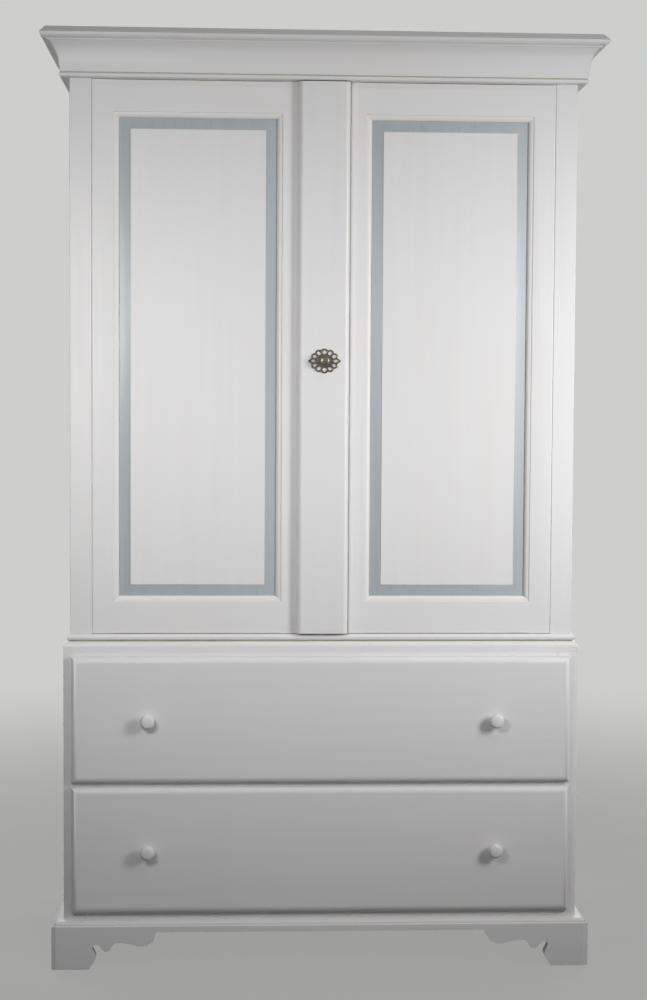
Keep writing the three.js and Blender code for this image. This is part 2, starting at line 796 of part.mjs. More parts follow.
// A drawer front, rounded along all four of its front edges
function drawer_front() {
  const half = drawer_front_width / 2;
  const depth = drawer_front_thickness;
  const round = drawer_front_round;
  const across = new THREE.Shape();
  across.moveTo(-half, depth);
  across.lineTo(-half, round);
  across.absarc(-half + round, round, round, 2 * quarter, 3 * quarter, false);
  across.absarc(half - round, round, round, 3 * quarter, 4 * quarter, false);
  across.lineTo(half, depth);
  const upright = new THREE.Shape();
  upright.moveTo(depth, 0);
  upright.lineTo(depth, drawer_front_height);
  upright.absarc(round, drawer_front_height - round, round, quarter, 2 * quarter, false);
  upright.absarc(round, round, round, 2 * quarter, 3 * quarter, false);
  return common(
    extruded(across, 'z', -overrun, drawer_front_height + overrun),
    extruded(upright, 'x', -half - overrun, half + overrun),
  );
}

// The left side of a drawer, with a groove outside for its runner and one inside for the bottom sheet
function drawer_side() {
  const outside = -drawer_box_half;
  const inside = outside + drawer_board;
  const runner_low = (drawer_front_height - runner_height) / 2 - runner_play;
  const runner_high = (drawer_front_height + runner_height) / 2 + runner_play;
  const sheet_low = drawer_box_inset + drawer_sheet_up - seat_gap;
  const sheet_high = sheet_low + drawer_sheet + 2 * seat_gap;
  const box_high = drawer_box_inset + drawer_box_height;
  const outline = polygon([
    [outside, drawer_box_inset],
    [inside, drawer_box_inset],
    [inside, sheet_low],
    [inside - drawer_sheet_groove, sheet_low],
    [inside - drawer_sheet_groove, sheet_high],
    [inside, sheet_high],
    [inside, box_high],
    [outside, box_high],
    [outside, runner_high],
    [outside + runner_groove, runner_high],
    [outside + runner_groove, runner_low],
    [outside, runner_low],
  ]);
  return extruded(outline, 'y', 0, drawer_box_depth);
}

function build_drawer(parent, name, low) {
  const drawer = group_of(parent, [0, lower_front - drawer_face_gap, low]);
  const inside = drawer_box_half - drawer_board;
  const sheet_low = drawer_box_inset + drawer_sheet_up;
  const sheet_high = sheet_low + drawer_sheet;
  const sheet_half = inside + drawer_sheet_groove - seat_gap;
  piece(drawer, `${name}_front`, white_paint, drawer_front(), [0, -drawer_front_thickness, 0]);
  pair(drawer, `${name}_side`, raw_wood, drawer_side());
  piece(drawer, `${name}_back`, raw_wood, block(
    [-inside, drawer_box_depth - drawer_board, sheet_high + seat_gap],
    [inside, drawer_box_depth, drawer_box_inset + drawer_box_height],
  ));
  piece(drawer, `${name}_bottom`, raw_wood, block(
    [-sheet_half, 0, sheet_low], [sheet_half, drawer_box_depth, sheet_high],
  ));
  const pull = turned(pull_shares, pull_radius, pull_length);
  const knob_x = drawer_front_width / 2 - drawer_knob_from_end;
  pull.translate(-knob_x, -drawer_front_thickness, drawer_front_height / 2);
  pair(drawer, `${name}_knob`, white_paint, pull);
  // The runner stays with the case
  const level = low + drawer_front_height / 2;
  pair(parent, `${name}_runner`, raw_wood, block(
    [-lower_inside, lower_frame_back, level - runner_height / 2],
    [-drawer_box_half + runner_groove - runner_play, back_inside - runner_back_gap, level + runner_height / 2],
  ));
}

// Base

// The moulded top edge in section: a ledge, an ovolo, a quirk and a small bead over the flat skirt
function base_section() {
  const ovolo_foot = base_height - base_ovolo_drop;
  const bead_level = ovolo_foot - base_quirk - base_bead_radius;
  const section = new THREE.Shape();
  section.moveTo(0, 0);
  section.lineTo(base_board, 0);
  section.absarc(base_board - base_bead_radius, bead_level, base_bead_radius, 0, quarter, false);
  section.lineTo(base_ovolo_reach, bead_level + base_bead_radius);
  section.absellipse(
    base_ledge, ovolo_foot, base_ovolo_reach - base_ledge, base_ovolo_drop, 0, quarter, false, 0,
  );
  section.lineTo(0, base_height);
  return section;
}

// A foot's edge as points from the floor up, at distances from its outer corner
function foot_edge(shares, length) {
  const points = shares.map(([along, up]) => new THREE.Vector2(along * length, up * skirt_level));
  return new THREE.SplineCurve(points).getPoints(scroll_steps * points.length);
}

// The space between two feet: `left` and `right` are their outer corners
function arch(left, right, shares, length) {
  const edge = foot_edge(shares, length);
  const climbing = edge.map((point) => [left + point.x, point.y]);
  const falling = edge.map((point) => [right - point.x, point.y]).reverse();
  const below = -overrun;
  return polygon([[climbing[0][0], below], ...climbing, ...falling, [falling[falling.length - 1][0], below]]);
}

// A base board along X, mitred like a moulding, with its lower edge cut to two feet
function base_length(foot_length, start, end, start_slope, end_slope) {
  const body = moulding(base_section(), start, end, start_slope, end_slope);
  const outer_start = start - start_slope * base_board;
  const outer_end = end + end_slope * base_board;
  const space = arch(outer_start, outer_end, foot_scroll_shares, foot_length);
  return cut(body, extruded(space, 'y', -base_board - overrun, overrun));
}

function build_base(parent) {
  const foot_of = { true: front_foot, false: side_foot };
  wrap_round(parent, 'base', half_lower, lower_front, 0, (start, end, start_slope, end_slope) => {
    const both_mitred = start_slope === end_slope;
    return base_length(foot_of[both_mitred], start, end, start_slope, end_slope);
  });
  const board = block([-half_lower, upper_depth - base_back_board, 0], [half_lower, upper_depth, lower_foot]);
  const space = arch(-half_lower, half_lower, plain_foot_shares, back_foot);
  const back = cut(board, extruded(space, 'y', upper_depth - base_back_board - overrun, upper_depth + overrun));
  piece(parent, 'base_back', white_paint, back);
}

// Assembly: the outer box runs from the drawer knobs to the back
const front_reach = lower_step + drawer_face_gap + drawer_front_thickness + pull_length;
const model = group_of(armoire, [0, (front_reach - upper_depth) / 2, 0]);

build_upper_case(model);
build_cornice(model);
build_hinges(model);
build_doors(model);
build_lower_case(model);
build_drawer(model, 'upper_drawer', upper_drawer_low);
build_drawer(model, 'lower_drawer', lower_drawer_low);
build_base(model);

export default armoire;
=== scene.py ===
"""A painted two-stage television armoire, modelled and finished for its portrait.

Lengths are in metres. X runs to the right, Y to the back and Z up, with the floor at 0.
"""

import logging
import math
from abc import ABC, abstractmethod
from collections.abc import Callable, Sequence
from dataclasses import dataclass
from enum import Enum

import bmesh
import bpy
from mathutils import Matrix, Vector


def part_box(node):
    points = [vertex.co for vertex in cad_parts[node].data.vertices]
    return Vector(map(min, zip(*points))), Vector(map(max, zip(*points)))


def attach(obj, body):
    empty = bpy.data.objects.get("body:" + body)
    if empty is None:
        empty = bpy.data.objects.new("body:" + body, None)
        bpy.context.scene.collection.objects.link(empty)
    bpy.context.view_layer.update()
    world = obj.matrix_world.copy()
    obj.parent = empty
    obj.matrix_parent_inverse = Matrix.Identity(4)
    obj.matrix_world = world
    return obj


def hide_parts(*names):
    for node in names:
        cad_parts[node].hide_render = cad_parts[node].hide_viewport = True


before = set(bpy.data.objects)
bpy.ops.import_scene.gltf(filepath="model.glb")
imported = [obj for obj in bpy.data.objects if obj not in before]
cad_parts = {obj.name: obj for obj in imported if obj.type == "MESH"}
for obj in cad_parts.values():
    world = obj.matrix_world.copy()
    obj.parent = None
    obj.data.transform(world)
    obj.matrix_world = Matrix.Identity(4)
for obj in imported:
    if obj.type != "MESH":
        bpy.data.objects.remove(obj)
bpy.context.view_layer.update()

log = logging.getLogger("armoire")

Point = tuple[float, float]
Pair = tuple[float, float]
Colour = tuple[float, float, float, float]
Place = Callable[[float, float, float], Vector]
Piece = bpy.types.Object
Socket = bpy.types.NodeSocket

MM = 0.001
QUARTER = math.pi / 2
ARC_STEPS = 12  # of a quarter turn
EASING_STEPS = 3  # of a small rounding
KNOB_SIDES, KNOB_STEPS = 48, 6  # round it, and from one point of its profile to the next
BORE_SIDES = 32
SAME_POINT = 1e-6
FOLD = math.radians(32)  # a sharper fold than this stays a crease
FLAT = math.radians(1)  # faces with a smaller fold are one
ARRIS = 0.7 * MM  # the rounding that paint and sandpaper leave on a sawn edge
FINE_ARRIS = 0.3 * MM  # on thin boards and plates
POST_ARRIS = 0.4 * MM
MITRE_GAP = 0.2 * MM
SEAT_GAP = 0.3 * MM
SEAT_GAPS = Vector((SEAT_GAP, SEAT_GAP, SEAT_GAP))
UP = Vector((0, 0, 1))
FORWARD = Vector((0, -1, 0))
SIDES = ("left", "right")
BLACK = (0.0, 0.0, 0.0, 1.0)
NOISE_RANGE = (0.3, 0.7)  # where most values of a noise texture lie
SHELTER_SAMPLES = 8
MIX_ONE, MIX_OTHER, MIX_RESULT = 6, 7, 2  # the mix node's sockets for colours


class Body(Enum):
    """The bodies of the frame that the pieces ride on."""

    CABINET = "cabinet"
    LEFT_DOOR = "left_door"
    RIGHT_DOOR = "right_door"
    UPPER_DRAWER = "upper_drawer"
    LOWER_DRAWER = "lower_drawer"


class Run(Enum):
    """The way that a board's grain and its brush strokes run."""

    ALONG_X = 0
    ALONG_Y = 1
    ALONG_Z = 2


def srgb(red: int, green: int, blue: int) -> Colour:
    """Turns a screen colour into a linear one.

    Args:
        red: Red, from 0 to 255.
        green: Green, from 0 to 255.
        blue: Blue, from 0 to 255.

    Returns:
        The linear colour, with full alpha.
    """
    shares = [value / 255 for value in (red, green, blue)]
    linear = [s / 12.92 if s <= 0.04045 else ((s + 0.055) / 1.055) ** 2.4 for s in shares]
    return (*linear, 1.0)


# Outlines and meshes


class Pen:
    """Draws an outline as points, with straight lines and arcs."""

    def __init__(self, u: float, v: float) -> None:
        """Starts the outline at (u, v)."""
        self.points: list[Point] = [(u, v)]

    def to(self, u: float, v: float) -> None:
        """Draws a straight line to (u, v)."""
        if math.dist(self.points[-1], (u, v)) > SAME_POINT:
            self.points.append((u, v))

    def arc(self, centre: Point, radii: Pair, start: float, end: float) -> None:
        """Draws an arc of an ellipse, after a straight line to where it starts.

        Args:
            centre: The ellipse's centre.
            radii: Its half width and half height.
            start: Where the arc starts, in quarter turns.
            end: Where it ends, in quarter turns.
        """
        steps = max(EASING_STEPS, math.ceil(abs(end - start) * ARC_STEPS))
        for i in range(steps + 1):
            turn = (start + (end - start) * i / steps) * QUARTER
            self.to(centre[0] + radii[0] * math.cos(turn), centre[1] + radii[1] * math.sin(turn))


def through(points: Sequence[Point], steps: int) -> list[Point]:
    """Runs a smooth curve through points.

    Args:
        points: The points, in order.
        steps: How many steps the curve takes from one point to the next.

    Returns:
        The points of the curve.
    """
    last = len(points) - 1
    curve = []
    for i in range(last):
        p0, p1, p2, p3 = (points[min(max(k, 0), last)] for k in range(i - 1, i + 3))
        for t in (step / steps for step in range(steps)):
            curve.append(tuple(
                b + t * ((c - a) / 2 + t * (a - 2.5 * b + 2 * c - d / 2 + t * (1.5 * (b - c) + (d - a) / 2)))
                for a, b, c, d in zip(p0, p1, p2, p3)
            ))
    return [*curve, points[last]]


def piece_of(name: str, work: bmesh.types.BMesh) -> Piece:
    """Welds a working mesh, turns its faces outwards and makes it a piece.

    Args:
        name: The piece's name.
        work: The working mesh, which is freed.

    Returns:
        The piece.
    """
    bmesh.ops.remove_doubles(work, verts=work.verts, dist=SAME_POINT)
    bmesh.ops.recalc_face_normals(work, faces=work.faces)
    mesh = bpy.data.meshes.new(name)
    work.to_mesh(mesh)
    work.free()
    piece = bpy.data.objects.new(name, mesh)
    bpy.context.scene.collection.objects.link(piece)
    return piece


def settle(piece: Piece) -> Piece:
    """Applies a piece's modifiers, so that it is a plain mesh.

    Args:
        piece: The piece.

    Returns:
        The piece.
    """
    graph = bpy.context.evaluated_depsgraph_get()
    mesh = bpy.data.meshes.new_from_object(
        piece.evaluated_get(graph), preserve_all_data_layers=True, depsgraph=graph,
    )
    piece.modifiers.clear()
    piece.data = mesh
    return piece


def smooth(piece: Piece) -> Piece:
    """Shades curved faces smoothly, and keeps flats flat and folds sharp.

    Args:
        piece: The piece.

    Returns:
        The piece.
    """
    piece.data.polygons.foreach_set("use_smooth", [True] * len(piece.data.polygons))
    piece.data.set_sharp_from_angle(angle=FOLD)
    weighted = piece.modifiers.new("flats", "WEIGHTED_NORMAL")
    weighted.keep_sharp = True
    return settle(piece)


def ease(piece: Piece, width: float) -> Piece:
    """Rounds a piece's sharp edges a little.

    Args:
        piece: The piece.
        width: How far the rounding reaches from the edge.

    Returns:
        The piece.
    """
    bevel = piece.modifiers.new("arris", "BEVEL")
    bevel.width = width
    bevel.segments = EASING_STEPS
    bevel.limit_method = "ANGLE"
    bevel.angle_limit = FOLD
    bevel.use_clamp_overlap = True
    return smooth(settle(piece))


def skin(work: bmesh.types.BMesh, rings: Sequence[Sequence[Vector]]) -> list[list[bmesh.types.BMVert]]:
    """Joins rings of points with faces.

    Args:
        work: The working mesh.
        rings: The rings, each with as many points.

    Returns:
        The vertices of each ring.
    """
    rows = [[work.verts.new(point) for point in ring] for ring in rings]
    for low, high in zip(rows, rows[1:]):
        for i in range(len(low)):
            work.faces.new((low[i - 1], low[i], high[i], high[i - 1]))
    return rows


def loft(name: str, rings: Sequence[Sequence[Vector]]) -> Piece:
    """Joins rings of points into one closed skin, with a flat cap at each end.

    Args:
        name: The piece's name.
        rings: The rings, each with as many points.

    Returns:
        The piece.
    """
    work = bmesh.new()
    rows = skin(work, rings)
    work.faces.new(rows[0])
    work.faces.new(rows[-1])
    return piece_of(name, work)


def round_board(
    name: str, low: Vector, high: Vector, rings: Sequence[Pair], facing: Vector, straight_back: bool = False,
) -> Piece:
    """Builds a board whose edges step in from ring to ring, as a routed or bullnosed edge does.

    Args:
        name: The piece's name.
        low: The board's lowest corner.
        high: Its highest corner.
        rings: For each ring, how far it is inside the board's outline and its distance along `facing`.
        facing: The unit vector through the board's thickness, from its low corner.
        straight_back: Whether its back edge stays straight.

    Returns:
        The piece.
    """
    axis = [abs(value) for value in facing].index(1)
    others = [i for i in range(3) if i != axis]
    start = low if facing[axis] > 0 else high

    def ring_at(inset: float, along: float) -> list[Vector]:
        """Gives a ring's four corners.

        Args:
            inset: How far the ring is inside the board's outline.
            along: Its distance along `facing`.

        Returns:
            The corners.
        """
        corners = []
        for ends in ((0, 0), (1, 0), (1, 1), (0, 1)):
            corner = Vector((0, 0, 0))
            corner[axis] = start[axis] + facing[axis] * along
            for i, is_high in zip(others, ends):
                stays = straight_back and i == Run.ALONG_Y.value
                corner[i] = (high[i] - (0 if stays else inset)) if is_high else low[i] + inset
            corners.append(corner)
        return corners

    return loft(name, [ring_at(inset, along) for inset, along in rings])


def rounded(depth: float, across: float, behind: float, steps: int = ARC_STEPS) -> list[Pair]:
    """Gives the rings of a board whose face is rounded all round by a quarter of an ellipse.

    Args:
        depth: The board's thickness.
        across: How far the rounding reaches in from the outline.
        behind: How far it reaches back from the face.
        steps: The rounding's steps.

    Returns:
        For each ring, how far it is inside the outline and its distance from the back.
    """
    turns = [QUARTER * i / steps for i in range(steps + 1)]
    return [(0, 0), *((across * (1 - math.cos(turn)), depth - behind * (1 - math.sin(turn))) for turn in turns)]


def post(name: str, low: Vector, high: Vector, roundings: Pair) -> Piece:
    """Builds an upright board whose two front edges are rounded.

    Args:
        name: The piece's name.
        low: The board's lowest corner.
        high: Its highest corner.
        roundings: The radius of its left and of its right front edge.

    Returns:
        The piece.
    """
    left, right = roundings
    pen = Pen(low.x, high.y)
    pen.arc((low.x + left, low.y + left), (left, left), 2, 3)
    pen.arc((high.x - right, low.y + right), (right, right), 3, 4)
    pen.to(high.x, high.y)
    rings = [[Vector((x, y, z)) for x, y in pen.points] for z in (low.z, high.z)]
    return ease(loft(name, rings), POST_ARRIS)


@dataclass(frozen=True)
class Length:
    """A length of board or moulding along a side of a case, which may be mitred at its ends."""

    node: str
    run: Run
    place: Place  # the point for a distance along, outwards and upwards
    slopes: Pair  # at the start and the end, 1 for a mitre that grows outwards and 0 for a square end
    inner: float  # how long it is at its back

    def ends(self, u: float) -> Pair:
        """Gives where it begins and ends, at a distance outwards from its back."""
        return -self.slopes[0] * (u - MITRE_GAP / 2), self.inner + self.slopes[1] * (u - MITRE_GAP / 2)

    def rings(self, outline: Sequence[Point]) -> list[list[Vector]]:
        """Sets a section, drawn outwards and upwards, at both ends."""
        return [[self.place(self.ends(u)[end], u, v) for u, v in outline] for end in (0, 1)]


def lengths_round(stem: str, reach: float) -> list[Length]:
    """Lays out a front length and two side lengths, mitred at the front corners.

    Args:
        stem: What the names of their CAD nodes begin with.
        reach: How far the front length stands out from the corners behind it.

    Returns:
        The lengths.
    """
    low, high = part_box(f"{stem}_front")
    half = high.x - reach + MITRE_GAP / 2
    side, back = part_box(f"{stem}_right")[0].x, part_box(f"{stem}_left")[1].y
    lengths = [Length(
        f"{stem}_front", Run.ALONG_X, lambda a, u, v: Vector((a - half, high.y - u, low.z + v)),
        (1, 1), 2 * half,
    )]
    for name, hand in zip(SIDES, (-1, 1)):
        lengths.append(Length(
            f"{stem}_{name}", Run.ALONG_Y,
            lambda a, u, v, hand=hand: Vector((hand * (side + u), high.y + a, low.z + v)),
            (1, 0), back - high.y,
        ))
    return lengths


def knob(name: str, node: str, shares: Sequence[Point]) -> Piece:
    """Turns a knob that fills a CAD node's box, with its crown to the front.

    Args:
        name: The piece's name.
        node: The node's name.
        shares: The profile from root to crown, as shares of the radius and of the length.

    Returns:
        The piece.
    """
    low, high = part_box(node)
    middle, radius = (low + high) / 2, (high.x - low.x) / 2
    crown, root = Vector((middle.x, low.y, middle.z)), Vector((middle.x, high.y, middle.z))
    axis = crown - root
    facing = axis.to_track_quat("Z", "Y")
    turns = [4 * QUARTER * i / KNOB_SIDES for i in range(KNOB_SIDES)]
    rings = []
    for across, along in through(shares, KNOB_STEPS)[:-1]:
        across, along = radius * max(across, 0), axis.length * min(along, 1)
        rings.append([
            root + facing @ Vector((across * math.cos(turn), across * math.sin(turn), along)) for turn in turns
        ])
    work = bmesh.new()
    rows = skin(work, rings)
    tip = work.verts.new(crown)
    for i in range(KNOB_SIDES):
        work.faces.new((rows[-1][i - 1], rows[-1][i], tip))
    work.faces.new(rows[0])
    return smooth(piece_of(name, work))


def copy_of(node: str, width: float) -> Piece:
    """Copies a CAD node as a welded mesh with eased edges.

    Args:
        node: The node's name.
        width: How far the rounding of its edges reaches.

    Returns:
        The copy.
    """
    work = bmesh.new()
    work.from_mesh(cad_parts[node].data)
    bmesh.ops.remove_doubles(work, verts=work.verts, dist=SAME_POINT)
    bmesh.ops.dissolve_limit(work, angle_limit=FLAT, verts=work.verts, edges=work.edges)
    return ease(piece_of(f"{node}_eased", work), width)


def carve(piece: Piece, low: Vector, high: Vector, is_round: bool = False) -> None:
    """Cuts a box-shaped pocket or a round upright bore out of a piece.

    Args:
        piece: The piece.
        low: The pocket's lowest corner.
        high: Its highest corner.
        is_round: Whether it is a bore.
    """
    work = bmesh.new()
    if is_round:
        bmesh.ops.create_cone(work, cap_ends=True, segments=BORE_SIDES, radius1=0.5, radius2=0.5, depth=1)
    else:
        bmesh.ops.create_cube(work, size=1)
    bmesh.ops.scale(work, vec=high - low, verts=work.verts)
    bmesh.ops.translate(work, vec=(low + high) / 2, verts=work.verts)
    tool = piece_of("pocket", work)
    cut = piece.modifiers.new("pocket", "BOOLEAN")
    cut.operation = "DIFFERENCE"
    cut.solver = "EXACT"
    cut.object = tool
    settle(piece)
    bpy.data.objects.remove(tool)


# Finishes


class Graph:
    """A node tree, with short calls for its nodes and links."""

    def __init__(self, tree: bpy.types.NodeTree) -> None:
        """Wraps a tree."""
        self.tree = tree

    def feed(self, node: bpy.types.Node, inputs: dict) -> None:
        """Sets a node's inputs to values, or links sockets to them.

        Args:
            node: The node.
            inputs: The values or sockets, by the input's name or number.
        """
        for name, value in inputs.items():
            if isinstance(value, Socket):
                self.tree.links.new(value, node.inputs[name])
            else:
                node.inputs[name].default_value = value

    def add(self, kind: str, inputs: dict | None = None, settings: dict | None = None) -> bpy.types.Node:
        """Adds a node.

        Args:
            kind: The node's type.
            inputs: Values or sockets for its inputs, by name or number.
            settings: Its properties.

        Returns:
            The node.
        """
        node = self.tree.nodes.new(kind)
        for name, value in (settings or {}).items():
            setattr(node, name, value)
        self.feed(node, inputs or {})
        return node

    def out(self, kind: str, inputs: dict | None = None, settings: dict | None = None) -> Socket:
        """Adds a node, as `add` does, and returns its first output."""
        return self.add(kind, inputs, settings).outputs[0]

    def calc(self, operation: str, *values: float | Socket) -> Socket:
        """Adds a math node on values or sockets, and returns its output."""
        return self.out("ShaderNodeMath", dict(enumerate(values)), {"operation": operation})

    def blend(self, share: float | Socket, one: Colour | Socket, other: Colour | Socket) -> Socket:
        """Mixes two colours.

        Args:
            share: How much of the other colour there is.
            one: The first colour.
            other: The other colour.

        Returns:
            The mixed colour's socket.
        """
        inputs = {"Factor": share, MIX_ONE: one, MIX_OTHER: other}
        return self.add("ShaderNodeMix", inputs, {"data_type": "RGBA"}).outputs[MIX_RESULT]

    def spread(self, value: Socket, old: Pair, new: Pair) -> Socket:
        """Moves a value from an old range to a new one, and keeps it inside.

        Args:
            value: The value.
            old: The range's ends before.
            new: The range's ends after.

        Returns:
            The moved value's socket.
        """
        return self.out("ShaderNodeMapRange", {
            "Value": value, "From Min": old[0], "From Max": old[1], "To Min": new[0], "To Max": new[1],
        })

    def noise(
        self, vector: Socket, scale: float, detail: float = 3.0, low: float = 0.0, high: float = 1.0,
    ) -> Socket:
        """Adds a noise texture and spreads its middle over a range.

        Args:
            vector: The coordinates.
            scale: Waves to the metre.
            detail: How fine the noise goes.
            low: The range's low end.
            high: The range's high end.

        Returns:
            The socket of the spread value.
        """
        value = self.out("ShaderNodeTexNoise", {"Vector": vector, "Scale": scale, "Detail": detail})
        return self.spread(value, NOISE_RANGE, (low, high))

    def shelter(self, reach: float, is_alone: bool) -> Socket:
        """Gives how open a place is within a reach, on a piece alone or among its neighbours."""
        settings = {"samples": SHELTER_SAMPLES, "only_local": is_alone}
        return self.add("ShaderNodeAmbientOcclusion", {"Distance": reach}, settings).outputs["AO"]

    def place(self) -> Socket:
        """Gives object coordinates."""
        return self.add("ShaderNodeTexCoord").outputs["Object"]

    def along(self, run: Run, stretch: float) -> Socket:
        """Gives object coordinates that are drawn out along a board.

        Args:
            run: The way the board runs.
            stretch: How many times a pattern is longer along the board than across it.

        Returns:
            The coordinates' socket.
        """
        scale = [1.0, 1.0, 1.0]
        scale[run.value] = 1 / stretch
        return self.out("ShaderNodeMapping", {"Vector": self.place(), "Scale": scale})

    def relief(self, height: Socket, depth: float, strength: float, under: Socket | None = None) -> Socket:
        """Adds a bump.

        Args:
            height: The height, from 0 to 1.
            depth: What a height of 1 stands for.
            strength: The bump's strength.
            under: The normal of a coarser bump.

        Returns:
            The normal's socket.
        """
        inputs = {"Height": height, "Distance": depth, "Strength": strength}
        if under is not None:
            inputs["Normal"] = under
        return self.out("ShaderNodeBump", inputs)


def new_material(name: str) -> tuple[bpy.types.Material, Graph, bpy.types.Node]:
    """Makes an empty material.

    Args:
        name: The material's name.

    Returns:
        The material, its graph and its shader.
    """
    material = bpy.data.materials.new(name)
    material.use_nodes = True
    material.node_tree.nodes.clear()
    graph = Graph(material.node_tree)
    shader = graph.add("ShaderNodeBsdfPrincipled")
    graph.add("ShaderNodeOutputMaterial", {"Surface": shader.outputs["BSDF"]})
    return material, graph, shader


class Finish(ABC):
    """A finish, with a material of its own for each way that a grained board can run."""

    name: str
    has_grain = True

    @abstractmethod
    def inputs(self, graph: Graph, run: Run) -> dict:
        """Draws the finish's nodes.

        Args:
            graph: The material's graph.
            run: The way that the board runs.

        Returns:
            The values or sockets for the shader's inputs.
        """

    def material(self, run: Run) -> bpy.types.Material:
        """Makes the material for boards that run one way, or finds it again.

        Args:
            run: The way that they run.

        Returns:
            The material.
        """
        full_name = f"{self.name}_{run.name.lower()}" if self.has_grain else self.name
        material = bpy.data.materials.get(full_name)
        if not material:
            material, graph, shader = new_material(full_name)
            graph.feed(shader, self.inputs(graph, run))
        return material


@dataclass(frozen=True)
class BrushedPaint(Finish):
    """Satin paint laid on with a brush, tinted with a warm glaze, and darkened in its quirks and gaps by glaze
    and painted shade together.
    """

    name: str
    colour: Colour
    # the glaze's colour, for random clouds and streaks, and for the painted shade in quirks and gaps
    glaze_shade_colour: Colour
    roughness: float = 0.42
    stroke: float = 0.05 * MM
    quirk: float = 7 * MM
    stretch: float = 26  # of the strokes, along over across
    cloudiness: float = 0.08
    streakiness: float = 0.07
    openness: Pair = (0.1, 0.7)  # where a quirk is closed, and where it is open
    # how far the quirks go towards that colour: glaze and painted shade together
    glaze_shade_share: float = 0.9
    swell: float = 0.12 * MM
    refraction: float = 1.46

    def inputs(self, graph: Graph, run: Run) -> dict:
        """Draws strokes and clouds, and the glaze and painted shade that darken the quirks.

        Args:
            graph: The material's graph.
            run: The way that the board runs.

        Returns:
            The values or sockets for the shader's inputs.
        """
        strokes, place = graph.along(run, self.stretch), graph.place()
        clouds = graph.noise(place, scale=2.6, detail=2, high=self.cloudiness)
        streaks = graph.noise(strokes, scale=60, high=self.streakiness)
        coat = graph.blend(streaks, graph.blend(clouds, self.colour, self.glaze_shade_colour), self.glaze_shade_colour)
        # painted shade: ambient occlusion darkens the paint towards the glaze colour where neighbouring
        # surfaces close in, partly glaze and partly painted shade
        closed = graph.spread(graph.shelter(self.quirk, is_alone=False), self.openness, (self.glaze_shade_share, 0.0))
        swell = graph.relief(graph.noise(place, scale=34, detail=2), depth=self.swell, strength=0.22)
        fine = graph.noise(strokes, scale=700, detail=4)
        return {
            "Base Color": graph.blend(closed, coat, self.glaze_shade_colour),
            "Roughness": graph.noise(strokes, scale=90, low=self.roughness - 0.05, high=self.roughness + 0.07),
            "Normal": graph.relief(fine, depth=self.stroke, strength=0.5, under=swell),
            "IOR": self.refraction,
        }


@dataclass(frozen=True)
class BareWood(Finish):
    """Pale softwood under a thin lacquer, with its growth rings and fibres."""

    name: str
    early: Colour
    late: Colour
    roughness: float = 0.55
    ring_sharpness: float = 2.2
    fibre_share: float = 0.28

    def inputs(self, graph: Graph, run: Run) -> dict:
        """Draws growth rings and fibres.

        Args:
            graph: The material's graph.
            run: The way that the board runs.

        Returns:
            The values or sockets for the shader's inputs.
        """
        grain = graph.along(run, stretch=14)
        rings = graph.add(
            "ShaderNodeTexWave",
            {"Vector": grain, "Scale": 11.0, "Distortion": 9.0, "Detail": 3.0, "Detail Scale": 1.1},
            {"wave_type": "RINGS", "rings_direction": "XYZ"[run.value]},
        ).outputs["Fac"]
        fibre = graph.noise(graph.along(run, stretch=60), scale=900)
        tone = graph.blend(graph.calc("POWER", rings, self.ring_sharpness), self.early, self.late)
        return {
            "Base Color": graph.blend(graph.calc("MULTIPLY", fibre, self.fibre_share), tone, self.late),
            "Roughness": graph.noise(
                grain, scale=40, detail=2, low=self.roughness - 0.06, high=self.roughness + 0.1,
            ),
            "Normal": graph.relief(fibre, depth=0.12 * MM, strength=0.6),
        }


@dataclass(frozen=True)
class PressedBoard(Finish):
    """Pressed fibreboard, mottled and slightly napped, the same whichever way it runs."""

    name: str
    pale: Colour
    dark: Colour
    fleck_share: float = 0.35
    has_grain = False

    def inputs(self, graph: Graph, run: Run) -> dict:
        """Draws mottles and flecks.

        Args:
            graph: The material's graph.
            run: The way that the board runs.

        Returns:
            The values or sockets for the shader's inputs.
        """
        place = graph.place()
        flecks = graph.noise(graph.along(run, stretch=3), scale=620, detail=2)
        tone = graph.blend(graph.noise(place, scale=28, detail=5), self.pale, self.dark)
        return {
            "Base Color": graph.blend(graph.calc("MULTIPLY", flecks, self.fleck_share), tone, self.dark),
            "Roughness": graph.noise(place, scale=60, detail=2, low=0.72, high=0.88),
            "Normal": graph.relief(flecks, depth=0.15 * MM, strength=0.7),
        }


@dataclass(frozen=True)
class Metal(Finish):
    """Metal that is rubbed bright on its high places and dull in its hollows."""

    name: str
    bright: Colour
    dull: Colour
    roughness: float
    metalness: float = 1.0
    hammer: float = 0.05 * MM
    hollow: float = 3 * MM
    rubbing: float = 2.0
    has_grain = False

    def inputs(self, graph: Graph, run: Run) -> dict:
        """Draws hollows, rubbed places and hammer marks.

        Args:
            graph: The material's graph.
            run: The way that the board runs; not used.

        Returns:
            The values or sockets for the shader's inputs.
        """
        place = graph.place()
        high_places = graph.calc("POWER", graph.shelter(self.hollow, is_alone=True), self.rubbing)
        rubbed = graph.calc("MULTIPLY", high_places, graph.noise(place, scale=260, low=0.45))
        marks = graph.noise(place, scale=520, detail=2)
        return {
            "Base Color": graph.blend(rubbed, self.dull, self.bright),
            "Roughness": graph.noise(
                place, scale=320, detail=2, low=self.roughness - 0.08, high=self.roughness + 0.14,
            ),
            "Normal": graph.relief(marks, depth=self.hammer, strength=0.6),
            "Metallic": self.metalness,
        }
